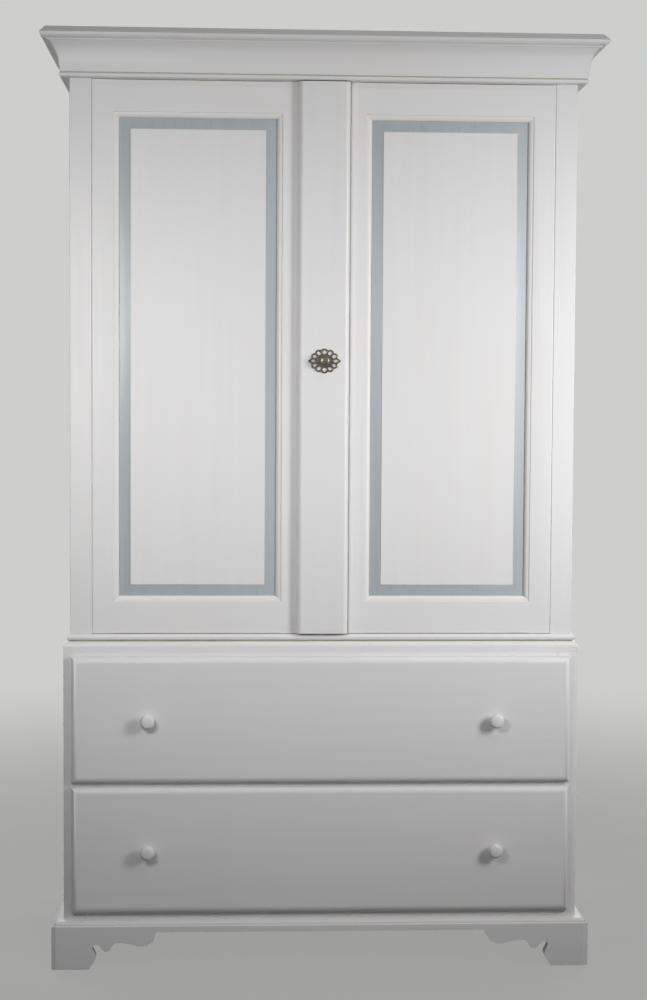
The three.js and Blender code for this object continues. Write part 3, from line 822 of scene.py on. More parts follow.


# Each paint's second colour tints it in random clouds and streaks, and is also the painted shade in its quirks
# and gaps.
WHITE_PAINT = BrushedPaint("white_satin_paint", srgb(229, 228, 229), srgb(196, 188, 171))
# the sticking's paint: its darker second colour is glaze and painted shade in the sticking's quirks
GLAZE_AND_SHADE_PAINT = BrushedPaint("glaze_and_shade_paint", srgb(230, 228, 226), srgb(186, 180, 165))
# The blue paint's second colour is dark: painted shade where the bevels meet the sticking.
BLUE_PAINT = BrushedPaint("blue_grey_paint", srgb(177, 184, 188), srgb(92, 98, 95), 0.3, 0.07 * MM, 6 * MM)
DRAWER_WOOD = BareWood("lacquered_pine", srgb(224, 197, 156), srgb(202, 165, 118))
RUNNER_WOOD = BareWood("waxed_beech", srgb(205, 168, 126), srgb(186, 144, 102), 0.42)
BACK_BOARD = PressedBoard("pressed_board", srgb(182, 150, 112), srgb(164, 130, 94))
AGED_METAL = Metal("aged_pewter", srgb(132, 124, 112), srgb(20, 18, 15), 0.27, 0.92)
HINGE_STEEL = Metal("hinge_steel", srgb(196, 194, 190), srgb(110, 108, 104), 0.3, 1.0, 0.01 * MM)


def dress(piece: Piece, body: Body, finish: Finish, run: Run, nodes: Sequence[str] = ()) -> None:
    """Gives a piece its finish, sets it on its body and lets it stand for CAD nodes.

    Args:
        piece: The piece.
        body: The body that it rides on.
        finish: Its finish.
        run: The way that its grain or brush strokes run.
        nodes: The CAD nodes that it stands for.
    """
    if not piece.data.materials:
        piece.data.materials.append(finish.material(run))
    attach(piece, body.value)
    if nodes:
        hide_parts(*nodes)
    log.info("%s rides on %s", piece.name, body.value)


def stand_in(node: str, finish: Finish, run: Run, width: float = ARRIS, body: Body = Body.CABINET) -> None:
    """Dresses an eased copy of a CAD node, which stands for it.

    Args:
        node: The node's name.
        finish: The copy's finish.
        run: The way that its grain or brush strokes run.
        width: How far the rounding of its edges reaches.
        body: The body that it rides on.
    """
    dress(copy_of(node, width), body, finish, run, [node])


# Geometry trees


class Growth(Graph):
    """A geometry tree with named inputs, which grows plain meshes."""

    def __init__(self, name: str, kinds: dict[str, str]) -> None:
        """Starts a tree.

        Args:
            name: The tree's name.
            kinds: The kind of each of its input sockets, by the input's name.
        """
        super().__init__(bpy.data.node_groups.new(name, "GeometryNodeTree"))
        new_socket = self.tree.interface.new_socket
        self.identifiers = {
            key: new_socket(key, in_out="INPUT", socket_type=f"NodeSocket{kind}").identifier
            for key, kind in kinds.items()
        }
        new_socket("Geometry", in_out="OUTPUT", socket_type="NodeSocketGeometry")
        self.given = self.add("NodeGroupInput").outputs

    def join(self, *parts: Socket) -> Socket:
        """Joins geometries into one.

        Args:
            parts: The geometries.

        Returns:
            The joined geometry's socket.
        """
        whole = self.add("GeometryNodeJoinGeometry")
        for part in parts:
            self.tree.links.new(part, whole.inputs[0])
        return whole.outputs[0]

    def scaled(self, geometry: Socket, *scales: float | Socket) -> Socket:
        """Scales a geometry along X, Y and Z."""
        scale = self.out("ShaderNodeCombineXYZ", dict(enumerate(scales)))
        return self.out("GeometryNodeTransform", {"Geometry": geometry, "Scale": scale})

    def end(self, geometry: Socket) -> None:
        """Ends the tree with a plain geometry in the metal that is its input.

        Args:
            geometry: The geometry.
        """
        plain = self.out("GeometryNodeRealizeInstances", {"Geometry": geometry})
        coated = self.out("GeometryNodeSetMaterial", {"Geometry": plain, "Material": self.given["Metal"]})
        self.add("NodeGroupOutput", {0: coated})

    def grow(self, name: str, values: dict[str, object]) -> Piece:
        """Runs the tree and keeps its result as a plain mesh.

        Args:
            name: The piece's name.
            values: The tree's inputs, by name.

        Returns:
            The piece.
        """
        piece = piece_of(name, bmesh.new())
        modifier = piece.modifiers.new("growth", "NODES")
        modifier.node_group = self.tree
        for key, value in values.items():
            modifier[self.identifiers[key]] = value
        return settle(piece)


# Sub-assemblies


@dataclass
class Crown:
    """The crown cornice: bead, frieze, cove, fillet, quirk, ovolo and bevel, mitred at the corners."""

    bead_centre: float = 14.6 * MM
    bead_radius: float = 4.8 * MM
    frieze: float = 18.4 * MM
    cove_reach: float = 32 * MM
    cove_rise: float = 64 * MM
    cove_clip: float = 59.8 * MM
    fillet_reach: float = 44 * MM
    fillet_height: float = 2.5 * MM
    quirk: float = 1.6 * MM
    bead_quirk: float = 0.8 * MM
    reach: float = 56.8 * MM
    crown_level: float = 85 * MM
    bevel: float = 11.8 * MM

    def outline(self, height: float) -> list[Point]:
        """Draws the section, outwards and upwards.

        Args:
            height: The cornice's height.

        Returns:
            The section's points.
        """
        cove_foot = 2 * self.bead_radius + self.quirk
        cove_end = cove_foot + self.cove_clip
        frieze_foot = cove_foot - self.quirk + self.bead_quirk
        cove_turn = math.asin(self.cove_clip / self.cove_rise) / QUARTER
        ovolo_foot = cove_end + self.fillet_height + self.quirk / 2
        ovolo_root = self.fillet_reach + self.quirk
        pen = Pen(0, 0)
        pen.arc((self.bead_centre, self.bead_radius), (self.bead_radius, self.bead_radius), -1, 1)
        pen.to(self.bead_centre, frieze_foot)
        pen.to(self.frieze, frieze_foot)
        cove_centre = (self.frieze + self.cove_reach, cove_foot)
        pen.arc(cove_centre, (self.cove_reach, self.cove_rise), 2, 2 - cove_turn)
        pen.arc((self.fillet_reach - ARRIS, cove_end + ARRIS), (ARRIS, ARRIS), -1, 0)
        pen.to(self.fillet_reach, cove_end + self.fillet_height)
        ovolo = (self.reach - ovolo_root, self.crown_level - ovolo_foot)
        pen.arc((ovolo_root, self.crown_level), ovolo, -1, 0)
        pen.to(self.reach - self.bevel, height)
        pen.to(0, height)
        return pen.points

    def build(self) -> None:
        """Builds the front length and the two returns."""
        low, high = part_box("cornice_front")
        outline = self.outline(high.z - low.z)
        for length in lengths_round("cornice", self.reach):
            word = "run" if length.run is Run.ALONG_X else "return"
            piece = smooth(loft(f"{length.node}_{word}", length.rings(outline)))
            dress(piece, Body.CABINET, WHITE_PAINT, length.run, [length.node])


@dataclass
class UpperCase:
    """The carcase of the upper stage: sides, stiles, deck, rail, roof, back and shelf."""

    inner_round: float = 1.5 * MM
    outer_round: float = 1.4 * MM
    edge_paint: float = 0.42 * MM  # on the stiles' inner edges, which narrows the gaps beside the doors
    floor_gap: float = 6 * MM  # behind the doors, clear of their turning corners

    def deck(self) -> None:
        """Builds the deck board, whose bullnose is the bead at the waist, with its raised floor."""
        low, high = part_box("upper_deck")
        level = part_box("upper_side_left")[0].z
        radius = (level - low.z) / 2
        turns = [QUARTER * (i / ARC_STEPS - 1) for i in range(2 * ARC_STEPS + 1)]
        rings = [(radius * (1 - math.cos(turn)), radius * (1 + math.sin(turn))) for turn in turns]
        board = round_board("deck_board", low, Vector((high.x, high.y, level)), rings, UP, straight_back=True)
        for side in SIDES:
            leaf_low, leaf_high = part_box(f"bottom_hinge_{side}")
            carve(board, leaf_low - SEAT_GAPS, Vector((leaf_high.x, leaf_high.y, level)) + SEAT_GAPS)
        dress(smooth(board), Body.CABINET, WHITE_PAINT, Run.ALONG_X, ["upper_deck"])
        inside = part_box("upper_roof")[0].x + SEAT_GAP
        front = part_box("left_door_hinge_stile")[1].y + self.floor_gap
        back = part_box("upper_back_panel")[0].y - SEAT_GAP
        floor_low, floor_high = Vector((inside, front, level - radius)), Vector((-inside, back, high.z))
        rings = rounded(high.z - floor_low.z, ARRIS, ARRIS, EASING_STEPS)
        floor = round_board("deck_floor", floor_low, floor_high, rings, UP)
        dress(smooth(floor), Body.CABINET, WHITE_PAINT, Run.ALONG_X)

    def build(self) -> None:
        """Builds the boards of the case."""
        self.deck()
        paint = Vector((self.edge_paint, 0, 0))
        roundings = (self.outer_round, self.inner_round)
        for side in SIDES:
            stand_in(f"upper_side_{side}", WHITE_PAINT, Run.ALONG_Z)
            node = f"upper_stile_{side}"
            low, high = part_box(node)
            if side == "left":
                stile = post(f"{node}_board", low, high + paint, roundings)
            else:
                stile = post(f"{node}_board", low - paint, high, roundings[::-1])
            dress(stile, Body.CABINET, WHITE_PAINT, Run.ALONG_Z, [node])
        for node in ("upper_top_rail", "upper_roof", "component_shelf"):
            stand_in(node, WHITE_PAINT, Run.ALONG_X)
        stand_in("upper_back_panel", BACK_BOARD, Run.ALONG_Z, FINE_ARRIS)


@dataclass
class PanelDoor:
    """A door of mitred cope-and-stick members round a fielded panel."""

    body: Body
    hand: int  # 1 where the hinge is on the left
    sticking_width: float = 12 * MM
    sticking_depth: float = 8.2 * MM
    quirk: float = 1.6 * MM
    step_share: float = 0.6  # of the quirk, that the sticking steps down
    groove_depth: float = 9 * MM
    groove_width: float = 6.6 * MM
    outer_arris: float = 2.2 * MM
    end_arris: float = 1.2 * MM
    end_paint: float = 0.8 * MM  # paint on the door's ends and sides narrows the gaps round it
    side_paint: float = 0.42 * MM
    bevel: float = 24 * MM
    shoulder: float = 1.0 * MM
    set_back: float = 1.0 * MM
    shoulder_shares: tuple[Point, ...] = ((-0.15, 0), (0.05, 0.75), (0.4, 1))  # inwards and forwards
    squareness: Pair = (0.9, 0.999)  # how squarely the bevels face the front
    tongue: float = 6 * MM
    pin_reach: float = 4 * MM
    pin_length: float = 30 * MM

    @property
    def name(self) -> str:
        """The door's name, which its nodes' names begin with."""
        return self.body.value

    def section(
        self, width: float, thickness: float, arris: float, split: float,
    ) -> tuple[list[Point], list[Point]]:
        """Draws a member's section, from its outer edge to the panel and from its face to its back.

        Args:
            width: The member's width.
            thickness: The door's thickness.
            arris: The rounding of the outer front edge.
            split: Where the flat board ends and the sticking begins.

        Returns:
            The outline of the flat board, from its back corner round to its face, and of the sticking, from the
            face round to the back.
        """
        board = Pen(split, thickness)
        board.to(0, thickness)
        board.arc((arris, arris), (arris, arris), 2, 3)
        board.to(split, 0)
        root = width - self.sticking_width + self.quirk / 2
        ovolo = (width - root, self.sticking_depth - self.quirk)
        sticking = Pen(split, 0)
        sticking.to(width - self.sticking_width, 0)
        sticking.to(root, self.quirk * self.step_share)
        sticking.arc((root, self.sticking_depth), ovolo, -1, 0)
        sticking.to(width - self.groove_depth, self.sticking_depth)
        sticking.to(width - self.groove_depth, self.sticking_depth + self.groove_width)
        sticking.to(width, self.sticking_depth + self.groove_width)
        sticking.to(width, thickness)
        sticking.to(split, thickness)
        return board.points, sticking.points

    def member(
        self, name: str, outlines: tuple[list[Point], list[Point]], place: Place, board_ends: Pair,
        sticking_ends: Pair,
    ) -> Piece:
        """Builds a stile or a rail, with its sticking mitred at both ends.

        Args:
            name: The piece's name.
            outlines: The outline of the flat board and of the sticking.
            place: Gives the point for a distance across the member, behind its face and along it.
            board_ends: Where the flat board begins and ends.
            sticking_ends: Where the root of the sticking begins and ends.

        Returns:
            The piece.
        """
        board, sticking = outlines
        split = board[0][0]
        work = bmesh.new()

        def row(points: Sequence[Point], start: float, slope: int) -> list[bmesh.types.BMVert]:
            """Gives an end's vertices, for an end that slopes away from the split or is square."""
            return [work.verts.new(place(u, v, start + slope * (u - split))) for u, v in points]

        flat_low = row(board, board_ends[0], 0)
        flat_high = row(board, board_ends[1], 0)
        stuck_low = row(sticking, sticking_ends[0], 1)
        stuck_high = row(sticking, sticking_ends[1], -1)
        for cap in (flat_low, flat_high, stuck_low, stuck_high):
            work.faces.new(cap)
        for i in range(len(board) - 1):
            low, high = flat_low[i:i + 2], flat_high[i:i + 2]
            face = [low[1], low[0]]
            if i == 0:
                face += [stuck_low[-1], stuck_high[-1]]
            face += [high[0], high[1]]
            if i == len(board) - 2:
                face += [stuck_high[0], stuck_low[0]]
            work.faces.new(face)
        for i in range(len(sticking) - 1):
            face = work.faces.new((stuck_low[i], stuck_low[i + 1], stuck_high[i + 1], stuck_high[i]))
            # the sticking's faces take the second paint, with its glaze and painted shade
            face.material_index = int(0 < i < len(sticking) - 3)
        if abs(board_ends[0] - sticking_ends[0]) > SAME_POINT:
            work.faces.new((flat_low[-1], stuck_low[0], stuck_low[-1], flat_low[0]))
            work.faces.new((flat_high[-1], stuck_high[0], stuck_high[-1], flat_high[0]))
        return smooth(piece_of(name, work))

    def paint(self, piece: Piece, run: Run, node: str) -> None:
        """Paints a member white, and its sticking in a paint that is darker in its quirks with glaze and
        painted shade.

        Args:
            piece: The member.
            run: The way that it runs.
            node: The CAD node that it stands for.
        """
        for finish in (WHITE_PAINT, GLAZE_AND_SHADE_PAINT):
            piece.data.materials.append(finish.material(run))
        dress(piece, self.body, WHITE_PAINT, run, [node])

    def stile(self, role: str) -> None:
        """Builds a stile.

        Args:
            role: hinge_stile or meeting_stile.
        """
        node = f"{self.name}_{role}"
        low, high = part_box(node)
        sense, outer = (1, low.x) if (role == "hinge_stile") == (self.hand > 0) else (-1, high.x)
        outer -= sense * self.side_paint
        width = high.x - low.x + self.side_paint
        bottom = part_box(f"{self.name}_bottom_rail")[1].z - self.sticking_width + MITRE_GAP / 2
        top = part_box(f"{self.name}_top_rail")[0].z + self.sticking_width - MITRE_GAP / 2
        piece = self.member(
            f"{node}_board",
            self.section(width, high.y - low.y, self.outer_arris, width - self.sticking_width),
            lambda u, v, w: Vector((outer + sense * u, low.y + v, w)),
            (low.z - self.end_paint, high.z + self.end_paint), (bottom, top),
        )
        if role == "hinge_stile":
            self.bore(piece)
        self.paint(piece, Run.ALONG_Z, node)

    def bore(self, stile: Piece) -> None:
        """Bores the hinge stile's ends for the pins, whose tips are the hinge plates' farthest points.

        Args:
            stile: The hinge stile.
        """
        side = "left" if self.hand > 0 else "right"
        reach = Vector((0, 0, self.pin_length))
        for end, sense in (("bottom", 1), ("top", -1)):
            points = [vertex.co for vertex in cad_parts[f"{end}_hinge_{side}"].data.vertices]
            level = max(sense * point.z for point in points)
            tip = [point for point in points if sense * point.z > level - self.pin_reach]
            low = Vector(min(point[i] for point in tip) for i in range(3)) - SEAT_GAPS
            high = Vector(max(point[i] for point in tip) for i in range(3)) + SEAT_GAPS
            if sense > 0:
                low -= reach
            else:
                high += reach
            carve(stile, low, high, is_round=True)
        smooth(stile)

    def rail(self, role: str) -> None:
        """Builds a rail.

        Args:
            role: top_rail or bottom_rail.
        """
        node = f"{self.name}_{role}"
        low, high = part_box(node)
        sense, outer = (1, low.z) if role == "bottom_rail" else (-1, high.z)
        outer -= sense * self.end_paint
        width = high.z - low.z + self.end_paint
        piece = self.member(
            f"{node}_board",
            self.section(width, high.y - low.y, self.end_arris, width - self.sticking_width - MITRE_GAP / 2),
            lambda u, v, w: Vector((w, low.y + v, outer + sense * u)), (low.x, high.x), (low.x, high.x),
        )
        self.paint(piece, Run.ALONG_X, node)

    def panel(self) -> None:
        """Builds the fielded panel, with its bevels in their own paint."""
        node = f"{self.name}_panel"
        low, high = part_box(node)
        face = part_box(f"{self.name}_hinge_stile")[0].y
        depth = high.y - face
        hidden = self.groove_depth - 2 * SEAT_GAP
        border = self.sticking_depth + SEAT_GAP
        top, inner = self.set_back + self.shoulder, hidden + self.bevel
        rings = [
            (hidden + SEAT_GAP, depth), (hidden + SEAT_GAP, border + self.tongue), (0, border + self.tongue),
            (0, border), (hidden, border),
            *((inner + a * self.shoulder, top - b * self.shoulder) for a, b in self.shoulder_shares),
        ]
        from_back = [(inset, depth - behind) for inset, behind in rings]
        piece = round_board(f"{node}_board", Vector((low.x, face, low.z)), high, from_back, FORWARD)
        for finish in (WHITE_PAINT, BLUE_PAINT):
            piece.data.materials.append(finish.material(Run.ALONG_Z))
        for polygon in piece.data.polygons:
            tilted = self.squareness[0] < abs(polygon.normal.y) < self.squareness[1]
            polygon.material_index = int(tilted and polygon.center.y < face + border)
        dress(smooth(piece), self.body, WHITE_PAINT, Run.ALONG_Z, [node])

    def build(self) -> None:
        """Builds the door's members and its panel."""
        for role in ("hinge_stile", "meeting_stile"):
            self.stile(role)
        for role in ("bottom_rail", "top_rail"):
            self.rail(role)
        self.panel()


@dataclass
class CentreStrip:
    """The applied strip that closes the doors, with its pierced backplate and domed knob."""

    rounding: float = 11 * MM
    knob_shares: tuple[Point, ...] = (
        (0.66, 0), (0.62, 0.1), (0.42, 0.2), (0.38, 0.36), (0.62, 0.43), (0.93, 0.54), (1, 0.68),
        (0.9, 0.84), (0.6, 0.96), (0, 1),
    )

    def build(self) -> None:
        """Builds the strip with its two front edges rounded, its backplate and its knob."""
        strip = post("strip_board", *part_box("centre_strip"), (self.rounding, self.rounding))
        dress(strip, Body.LEFT_DOOR, WHITE_PAINT, Run.ALONG_Z, ["centre_strip"])
        PiercedPlate().build()
        pull = knob("door_knob_turned", "door_knob", self.knob_shares)
        dress(pull, Body.LEFT_DOOR, AGED_METAL, Run.ALONG_Y, ["door_knob"])


@dataclass
class PiercedPlate:
    """The pierced oval backplate: twelve lobes, each with a petal-shaped hole, and a cusp at either end."""

    lobes: int = 12
    half_width: float = 31.4 * MM
    half_height: float = 26.2 * MM
    lobe_radius: float = 7.7 * MM
    lobe_power: float = 0.55
    hole_half_length: float = 4.8 * MM
    hole_half_width: float = 3.9 * MM
    wire: float = 0.6 * MM
    wire_sides: int = 8
    wire_inset: float = 0.97
    cusp: float = 35 * MM
    cusp_spread: float = 0.17
    cusp_power: float = 1.2
    web: float = 1.3 * MM
    boss_share: float = 0.6
    rim_points: int = 288
    hole_points: int = 28

    def tree(self) -> Growth:
        """Builds the node tree.

        Returns:
            The tree.
        """
        graph = Growth("pierced_plate", {
            "Lobes": "Int", "Half Width": "Float", "Half Height": "Float", "Lobe Radius": "Float",
            "Hole Length": "Float", "Hole Width": "Float", "Cusp": "Float", "Web": "Float",
            "Thickness": "Float", "Wire": "Float", "Metal": "Material",
        })
        given = graph.given
        across = graph.calc("SUBTRACT", given["Half Width"], given["Lobe Radius"])
        up = graph.calc("SUBTRACT", given["Half Height"], given["Lobe Radius"])

        def on_oval(turn: Socket, out: Socket | float) -> Socket:
            """Gives the place at an angle on the oval, or a distance outside it.

            Args:
                turn: The angle.
                out: The distance outside the oval.

            Returns:
                The place's socket.
            """
            x = graph.calc("MULTIPLY", graph.calc("ADD", across, out), graph.calc("COSINE", turn))
            y = graph.calc("MULTIPLY", graph.calc("ADD", up, out), graph.calc("SINE", turn))
            return graph.out("ShaderNodeCombineXYZ", {"X": x, "Y": y})

        def circle(points: int, radius: float | Socket) -> Socket:
            """Draws a circle."""
            return graph.out("GeometryNodeCurvePrimitiveCircle", {"Resolution": points, "Radius": radius})

        # The scalloped outer line, with a cusp at either end
        place = graph.add("ShaderNodeSeparateXYZ", {0: graph.out("GeometryNodeInputPosition")}).outputs
        turn = graph.calc("ARCTAN2", place["Y"], place["X"])
        wave = graph.calc("COSINE", graph.calc("MULTIPLY", turn, graph.calc("DIVIDE", given["Lobes"], 2.0)))
        scallop = graph.calc("POWER", graph.calc("ABSOLUTE", wave), self.lobe_power)
        bulge = graph.calc("MULTIPLY", given["Lobe Radius"], graph.calc("MULTIPLY_ADD", scallop, 0.5, 0.5))
        flank = graph.calc("DIVIDE", graph.calc("ABSOLUTE", graph.calc("SINE", turn)), self.cusp_spread)
        rise = graph.calc("MAXIMUM", graph.calc("SUBTRACT", 1.0, flank), 0.0)
        reach = graph.calc("SUBTRACT", given["Cusp"], given["Half Width"])
        spike = graph.calc("MULTIPLY", reach, graph.calc("POWER", rise, self.cusp_power))
        edge = on_oval(turn, graph.calc("ADD", bulge, spike))
        rim = graph.out("GeometryNodeSetPosition", {"Geometry": circle(self.rim_points, 1.0), "Position": edge})

        # One petal-shaped hole in each lobe, pointing at the middle
        line = graph.out(
            "GeometryNodeMeshLine", {"Count": given["Lobes"], "Offset": (0, 0, 0)}, {"mode": "OFFSET"},
        )
        step = graph.calc("DIVIDE", 4 * QUARTER, given["Lobes"])
        angle = graph.calc("MULTIPLY", graph.out("GeometryNodeInputIndex"), step)
        seats = graph.out("GeometryNodeSetPosition", {"Geometry": line, "Position": on_oval(angle, 0.0)})
        petal = graph.scaled(circle(self.hole_points, 1.0), given["Hole Length"], given["Hole Width"], 1.0)
        facing = graph.out("ShaderNodeCombineXYZ", {"Z": angle})
        petals = graph.out("GeometryNodeInstanceOnPoints", {
            "Points": seats, "Instance": petal, "Rotation": facing,
        })
        holes = graph.out("GeometryNodeRealizeInstances", {"Geometry": petals})

        # The web between them, filled and thickened
        web = graph.out("GeometryNodeFillCurve", {"Curve": graph.join(rim, holes)})
        face = graph.out("GeometryNodeExtrudeMesh", {
            "Mesh": web, "Offset": (0, 0, 1.0), "Offset Scale": given["Web"], "Individual": False,
        })
        under = graph.out("GeometryNodeFlipFaces", {"Mesh": web})

        # Raised beads round every hole and along the rim, and a boss in the middle
        lift = graph.out("ShaderNodeCombineXYZ", {"Z": given["Web"]})
        wire = circle(self.wire_sides, given["Wire"])

        def beaded(curve: Socket, scale: float) -> Socket:
            """Runs a bead along a curve that is drawn in a little.

            Args:
                curve: The curve.
                scale: How much of the curve's size is kept.

            Returns:
                The bead's socket.
            """
            drawn_in = graph.scaled(curve, scale, scale, 1.0)
            tube = graph.out("GeometryNodeCurveToMesh", {"Curve": drawn_in, "Profile Curve": wire})
            return graph.out("GeometryNodeTransform", {"Geometry": tube, "Translation": lift})

        boss = graph.scaled(
            graph.out("GeometryNodeMeshUVSphere", {"Segments": 48, "Rings": 16, "Radius": 1.0}),
            graph.calc("MULTIPLY", across, self.boss_share), graph.calc("MULTIPLY", up, self.boss_share),
            given["Thickness"],
        )
        graph.end(graph.join(beaded(holes, 1.0), beaded(rim, self.wire_inset), boss, under, face))
        return graph

    def build(self) -> None:
        """Builds the plate and sets it on the strip, with nothing of it behind the strip's face."""
        low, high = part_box("knob_backplate")
        middle = (low + high) / 2
        piece = self.tree().grow("backplate_pierced", {
            "Lobes": self.lobes, "Half Width": self.half_width, "Half Height": self.half_height,
            "Lobe Radius": self.lobe_radius, "Hole Length": self.hole_half_length,
            "Hole Width": self.hole_half_width, "Cusp": self.cusp, "Web": self.web,
            "Thickness": high.y - low.y, "Wire": self.wire, "Metal": AGED_METAL.material(Run.ALONG_Y),
        })
        facing = Matrix.Translation((middle.x, high.y, middle.z)) @ Matrix.Rotation(QUARTER, 4, "X")
        piece.data.transform(facing)
        for vertex in piece.data.vertices:
            vertex.co.y = min(vertex.co.y, high.y)
        dress(smooth(piece), Body.LEFT_DOOR, AGED_METAL, Run.ALONG_Y, ["knob_backplate"])


@dataclass
class LowerCase:
    """The carcase of the lower stage."""

    top_round: float = 12 * MM
    stile_arris: float = 1.2 * MM

    def build(self) -> None:
        """Builds the top board, rounded along its front and sides, and the boards of the case."""
        low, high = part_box("lower_top_board")
        rings = rounded(high.z - low.z, self.top_round, self.top_round)
        board = round_board("lower_top_rounded", low, high, rings, UP, straight_back=True)
        dress(smooth(board), Body.CABINET, WHITE_PAINT, Run.ALONG_X, ["lower_top_board"])
        for side in SIDES:
            stand_in(f"lower_side_{side}", WHITE_PAINT, Run.ALONG_Z)
            stand_in(f"lower_stile_{side}", WHITE_PAINT, Run.ALONG_Z, self.stile_arris)
        for node in ("lower_top_rail", "lower_middle_rail", "lower_bottom_board"):
            stand_in(node, WHITE_PAINT, Run.ALONG_X)
        stand_in("lower_back_panel", BACK_BOARD, Run.ALONG_Z, FINE_ARRIS)


@dataclass
class Drawer:
    """A drawer: an overlay front with rounded edges, two knobs and a wooden box on wooden runners."""

    body: Body
    rounding: float = 11.5 * MM
    edge_width: float = 14 * MM
    box_arris: float = 1.0 * MM
    pull_shares: tuple[Point, ...] = (
        (0.62, 0), (0.6, 0.1), (0.44, 0.2), (0.43, 0.34), (0.7, 0.42), (0.94, 0.52), (1, 0.66),
        (0.93, 0.82), (0.66, 0.95), (0, 1),
    )

    def build(self) -> None:
        """Builds the drawer's pieces."""
        name = self.body.value
        low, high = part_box(f"{name}_front")
        rings = rounded(high.y - low.y, self.edge_width, self.rounding)
        front = round_board(f"{name}_front_board", low, high, rings, FORWARD)
        dress(smooth(front), self.body, WHITE_PAINT, Run.ALONG_X, [f"{name}_front"])
        for side in SIDES:
            node = f"{name}_knob_{side}"
            pull = knob(f"{node}_turned", node, self.pull_shares)
            dress(pull, self.body, WHITE_PAINT, Run.ALONG_Y, [node])
            stand_in(f"{name}_side_{side}", DRAWER_WOOD, Run.ALONG_Y, self.box_arris, self.body)
            stand_in(f"{name}_runner_{side}", RUNNER_WOOD, Run.ALONG_Y, self.box_arris)
        for part in ("back", "bottom"):
            stand_in(f"{name}_{part}", DRAWER_WOOD, Run.ALONG_X, self.box_arris, self.body)


@dataclass
class Base:
    """The base boards, with their moulded top edge and scrolled bracket feet."""

    board: float = 22 * MM
    ledge: float = 3.5 * MM
    ovolo_reach: float = 18.8 * MM
    ovolo_drop: float = 9.2 * MM
    quirk: float = 1.2 * MM
    bead: float = 2.4 * MM
    skirt_level: float = 79 * MM
    corner: float = 9 * MM
    corner_steps: int = 5
    sawn_arris: float = 0.5 * MM
    front_foot: float = 220 * MM
    side_foot: float = 205 * MM
    scroll_steps: int = 5
    scroll_shares: tuple[Point, ...] = (
        (0.35, 0), (0.378, 0.13), (0.412, 0.29), (0.407, 0.4), (0.384, 0.53), (0.381, 0.61), (0.4, 0.66),
        (0.43, 0.665), (0.452, 0.63), (0.472, 0.562), (0.492, 0.502), (0.517, 0.478), (0.543, 0.504),
        (0.564, 0.58), (0.584, 0.66), (0.608, 0.708), (0.64, 0.722), (0.721, 0.692), (0.841, 0.618),
        (0.927, 0.667), (0.968, 0.782), (1, 1),
    )

    def top_edge(self) -> list[Point]:
        """Draws the moulded top edge, from the flat skirt's upper line over the ledge to the back.

        Returns:
            The points, outwards and upwards.
        """
        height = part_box("base_front")[1].z
        ovolo_foot = height - self.ovolo_drop
        bead_level = ovolo_foot - self.quirk - self.bead
        pen = Pen(self.board, bead_level)
        pen.arc((self.board - self.bead, bead_level), (self.bead, self.bead), 0, 1)
        pen.to(self.ovolo_reach, bead_level + self.bead)
        ovolo = (self.ovolo_reach - self.ledge, self.ovolo_drop)
        pen.arc((self.ledge, ovolo_foot), ovolo, 0, 1)
        pen.to(0, height)
        pen.to(0, bead_level)
        return pen.points

    def board_at(self, length: Length) -> Piece:
        """Builds one base board.

        Args:
            length: The length that it fills.

        Returns:
            The piece.
        """
        foot = self.front_foot if length.run is Run.ALONG_X else self.side_foot
        edge = through([(a * foot, v * self.skirt_level) for a, v in self.scroll_shares], self.scroll_steps)
        start, end = -length.slopes[0] * self.board, length.inner + length.slopes[1] * self.board
        arch = [(start + a, v) for a, v in edge] + [(end - a, v) for a, v in reversed(edge)]
        work = bmesh.new()
        top = self.top_edge()
        caps = [[work.verts.new(point) for point in ring] for ring in length.rings(top)]
        for i in range(len(top) - 1):
            work.faces.new((caps[0][i], caps[0][i + 1], caps[1][i + 1], caps[1][i]))
        skins = []
        for u, upper in ((self.board, 0), (0, -1)):
            feet = [work.verts.new(length.place(along, u, 0)) for along in length.ends(u)]
            curve = [work.verts.new(length.place(a, u, v)) for a, v in arch]
            work.faces.new([caps[0][upper], feet[0], *curve, feet[1], caps[1][upper]])
            skins.append([feet[0], *curve, feet[1]])
        for i in range(len(skins[0]) - 1):
            work.faces.new((skins[0][i], skins[0][i + 1], skins[1][i + 1], skins[1][i]))
        work.faces.new([*caps[0], skins[1][0], skins[0][0]])
        work.faces.new([*caps[1], skins[1][-1], skins[0][-1]])
        self.round_corners(work)
        return ease(piece_of(f"{length.node}_board", work), self.sawn_arris)

    def round_corners(self, work: bmesh.types.BMesh) -> None:
        """Rounds the base's two front corners, on a front board or on a side board.

        Args:
            work: The board's working mesh.
        """
        low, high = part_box("base_front")
        for i in range(self.corner_steps):
            inside = self.corner * (1 - math.tan(QUARTER / 2 * i / self.corner_steps))
            for point, normal in (
                ((high.x - inside, 0, 0), (1, 0, 0)), ((inside - high.x, 0, 0), (1, 0, 0)),
                ((0, low.y + inside, 0), (0, 1, 0)),
            ):
                every = [*work.verts, *work.edges, *work.faces]
                bmesh.ops.bisect_plane(work, geom=every, plane_co=point, plane_no=normal)
        for vertex in work.verts:
            across = self.corner - (high.x - abs(vertex.co.x))
            ahead = self.corner - (vertex.co.y - low.y)
            if across > 0 and ahead > 0:
                shrink = max(across, ahead) / math.hypot(across, ahead)
                vertex.co.x += math.copysign(across * (shrink - 1), vertex.co.x)
                vertex.co.y -= ahead * (shrink - 1)

    def build(self) -> None:
        """Builds the front board, the two side boards and the back board."""
        for length in lengths_round("base", self.board):
            dress(self.board_at(length), Body.CABINET, WHITE_PAINT, length.run, [length.node])
        stand_in("base_back", WHITE_PAINT, Run.ALONG_X)


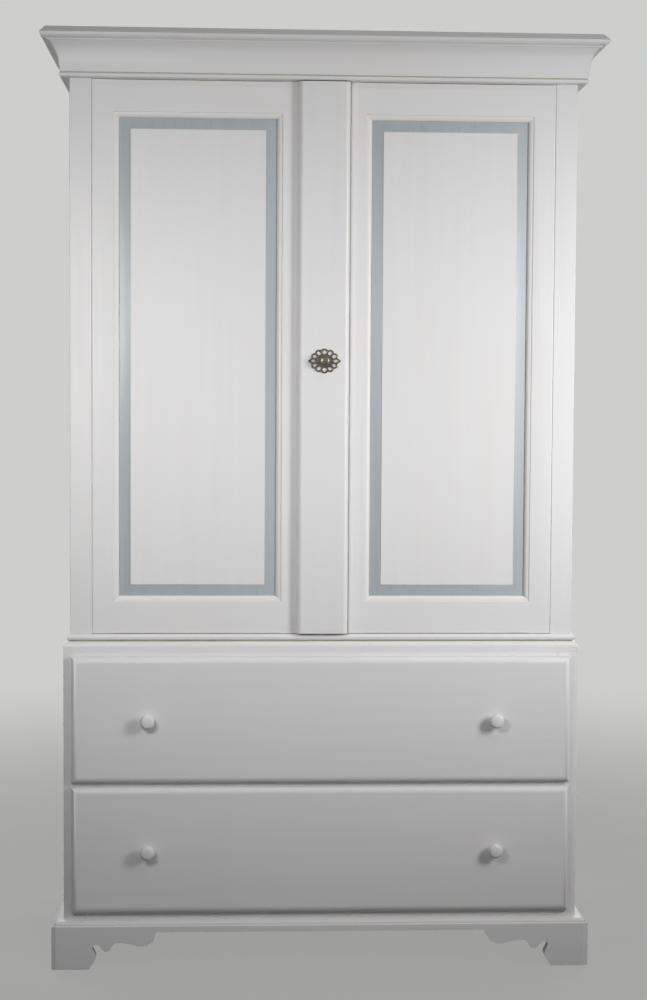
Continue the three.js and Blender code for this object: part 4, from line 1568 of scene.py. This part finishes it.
@dataclass
class PivotHinges:
    """The hinge plates let into the deck and the top rail, each with its row of screws."""

    leaf: float = 2.5 * MM
    screws: int = 2
    spacing: float = 17 * MM
    head_radius: float = 3.2 * MM
    head_rise: float = 0.35 * MM
    from_end: float = 7 * MM

    def screw_tree(self) -> Growth:
        """Builds the node tree for a row of oval screw heads.

        Returns:
            The tree.
        """
        graph = Growth("screw_row", {
            "Screws": "Int", "Spacing": "Vector", "Head Size": "Vector", "Metal": "Material",
        })
        given = graph.given
        line = graph.out(
            "GeometryNodeMeshLine", {"Count": given["Screws"], "Offset": given["Spacing"]}, {"mode": "OFFSET"},
        )
        ball = graph.out("GeometryNodeMeshUVSphere", {"Segments": 24, "Rings": 12, "Radius": 1.0})
        head = graph.out("GeometryNodeTransform", {"Geometry": ball, "Scale": given["Head Size"]})
        graph.end(graph.out("GeometryNodeInstanceOnPoints", {"Points": line, "Instance": head}))
        return graph

    def build(self) -> None:
        """Builds the four plates and their screws."""
        tree = self.screw_tree()
        for end in ("bottom", "top"):
            for side in SIDES:
                node = f"{end}_hinge_{side}"
                stand_in(node, HINGE_STEEL, Run.ALONG_X, FINE_ARRIS)
                low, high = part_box(node)
                inner, sense = (high.x, -1) if side == "left" else (low.x, 1)
                face = low.z + self.leaf if end == "bottom" else high.z - self.leaf
                row = tree.grow(f"{node}_screws", {
                    "Screws": self.screws,
                    "Spacing": (sense * self.spacing, 0, 0),
                    "Head Size": (self.head_radius, self.head_radius, self.head_rise),
                    "Metal": HINGE_STEEL.material(Run.ALONG_X),
                })
                place = (inner + sense * self.from_end, (low.y + high.y) / 2, face)
                row.data.transform(Matrix.Translation(place))
                dress(smooth(row), Body.CABINET, HINGE_STEEL, Run.ALONG_X)


# The studio


@dataclass(frozen=True)
class Lamp:
    """A soft lamp, which no camera sees."""

    name: str
    place: tuple[float, float, float]
    aim: tuple[float, float, float]
    size: Pair
    power: float
    spread: float


@dataclass
class Studio:
    """A pale floor, soft lamps and a camera at the portrait's viewing angle."""

    camera_place: tuple[float, float, float] = (-0.1819, -4.08475, 1.1995)
    yaw: float = math.radians(2.741)
    pitch: float = math.radians(2.988)
    roll: float = math.radians(0.3217)
    lens: float = 64.74
    film_width: float = 36.0
    sight: float = 200.0
    floor_radius: float = 30.0
    fade_from: float = 0.9
    fade_to: float = 4.0
    near_glow: float = 0.55
    pale: Colour = srgb(206, 206, 204)
    cloud: Colour = srgb(196, 195, 192)
    sky: Colour = srgb(236, 238, 242)
    ambient: float = 0.04
    floor_shade: float = 0.07
    lamps: tuple[Lamp, ...] = (
        Lamp("left_lamp", (-0.86, -1.78, 1.5), (-0.36, -0.26, 1.1), (0.7, 0.5), 5.3, math.radians(103)),
        Lamp("right_lamp", (1.52, -1.42, 1.46), (0.45, -0.26, 1.11), (0.5, 0.8), 8.5, math.radians(99)),
        Lamp("high_lamp", (0.5, -1.84, 3.14), (0, -0.26, 1.2), (0.3, 0.3), 2.2, math.radians(120)),
        Lamp("rear_left_lamp", (-1.6, 2.2, 2.7), (-0.3, 0.3, 1.0), (0.9, 0.9), 17.0, math.radians(110)),
        Lamp("rear_right_lamp", (1.6, 2.0, 2.7), (0.3, 0.3, 1.0), (0.9, 0.9), 17.0, math.radians(110)),
    )

    def camera(self) -> None:
        """Sets up the camera."""
        ahead = Vector((
            math.sin(self.yaw) * math.cos(self.pitch),
            math.cos(self.yaw) * math.cos(self.pitch),
            -math.sin(self.pitch),
        ))
        level = Vector((math.cos(self.yaw), -math.sin(self.yaw), 0))
        upright = level.cross(ahead)
        right = level * math.cos(self.roll) + upright * math.sin(self.roll)
        up = upright * math.cos(self.roll) - level * math.sin(self.roll)
        data = bpy.data.cameras.new("portrait")
        data.lens = self.lens
        data.sensor_width = self.film_width
        data.clip_end = self.sight
        camera = bpy.data.objects.new("portrait", data)
        turn = Matrix((right, up, -ahead)).transposed().to_4x4()
        camera.matrix_world = Matrix.Translation(self.camera_place) @ turn
        bpy.context.scene.collection.objects.link(camera)
        bpy.context.scene.camera = camera

    def light(self) -> None:
        """Sets up the lamps."""
        for lamp in self.lamps:
            data = bpy.data.lights.new(lamp.name, "AREA")
            data.shape = "RECTANGLE"
            data.size, data.size_y = lamp.size
            data.energy = lamp.power
            data.spread = lamp.spread
            source = bpy.data.objects.new(lamp.name, data)
            source.location = lamp.place
            source.rotation_euler = (Vector(lamp.aim) - Vector(lamp.place)).to_track_quat("-Z", "Y").to_euler()
            source.visible_camera = False
            bpy.context.scene.collection.objects.link(source)

    @staticmethod
    def seen(graph: Graph) -> Socket:
        """Gives 1 on rays from the camera, from gloss and through glass, and 0 on the light's own.

        Args:
            graph: The graph that it is worked out in.

        Returns:
            The switch's socket.
        """
        path = graph.add("ShaderNodeLightPath").outputs
        sharp = graph.calc("MAXIMUM", path["Is Glossy Ray"], path["Is Transmission Ray"])
        return graph.calc("MAXIMUM", path["Is Camera Ray"], sharp)

    def surroundings(self) -> None:
        """Sets up the pale world round the floor."""
        world = bpy.data.worlds.new("studio")
        world.use_nodes = True
        world.node_tree.nodes.clear()
        graph = Graph(world.node_tree)
        dim = graph.out("ShaderNodeBackground", {"Color": self.sky, "Strength": self.ambient})
        plain = graph.out("ShaderNodeBackground", {"Color": self.pale, "Strength": 1.0})
        mix = graph.out("ShaderNodeMixShader", {0: self.seen(graph), 1: dim, 2: plain})
        graph.add("ShaderNodeOutputWorld", {0: mix})
        bpy.context.scene.world = world

    def floor(self) -> None:
        """Builds the floor, which fades into the world round it."""
        work = bmesh.new()
        bmesh.ops.create_circle(work, cap_ends=True, segments=96, radius=self.floor_radius)
        floor = piece_of("studio_floor", work)
        material, graph, shader = new_material("pale_floor")
        place = graph.place()
        clouds = graph.noise(place, scale=1.2, detail=2, high=0.12)
        graph.feed(shader, {
            "Base Color": graph.blend(self.floor_shade, BLACK, graph.blend(clouds, self.pale, self.cloud)),
            "Roughness": graph.noise(place, scale=4, detail=2, low=0.7, high=0.85),
        })
        away = graph.add("ShaderNodeVectorMath", {0: place}, {"operation": "LENGTH"}).outputs["Value"]
        fade = graph.out("ShaderNodeMapRange", {
            "Value": away, "From Min": self.fade_from, "From Max": self.fade_to, "To Min": self.near_glow,
        }, {"interpolation_type": "SMOOTHSTEP"})
        glow = graph.out("ShaderNodeEmission", {"Color": self.pale, "Strength": 1.0})
        share = graph.calc("MULTIPLY", fade, self.seen(graph))
        mix = graph.out("ShaderNodeMixShader", {0: share, 1: shader.outputs[0], 2: glow})
        output = next(node for node in material.node_tree.nodes if node.type == "OUTPUT_MATERIAL")
        graph.feed(output, {"Surface": mix})
        floor.data.materials.append(material)

    def build(self) -> None:
        """Sets up the whole studio."""
        bpy.context.scene.view_settings.view_transform = "Standard"
        self.camera()
        self.light()
        self.surroundings()
        self.floor()


def main() -> None:
    """Builds the armoire and its studio."""
    logging.basicConfig(level=logging.INFO, format="%(message)s")
    Studio().build()
    Crown().build()
    UpperCase().build()
    PanelDoor(Body.LEFT_DOOR, 1).build()
    PanelDoor(Body.RIGHT_DOOR, -1).build()
    CentreStrip().build()
    PivotHinges().build()
    LowerCase().build()
    for body in (Body.UPPER_DRAWER, Body.LOWER_DRAWER):
        Drawer(body).build()
    Base().build()


if __name__ == "__main__":
    main()
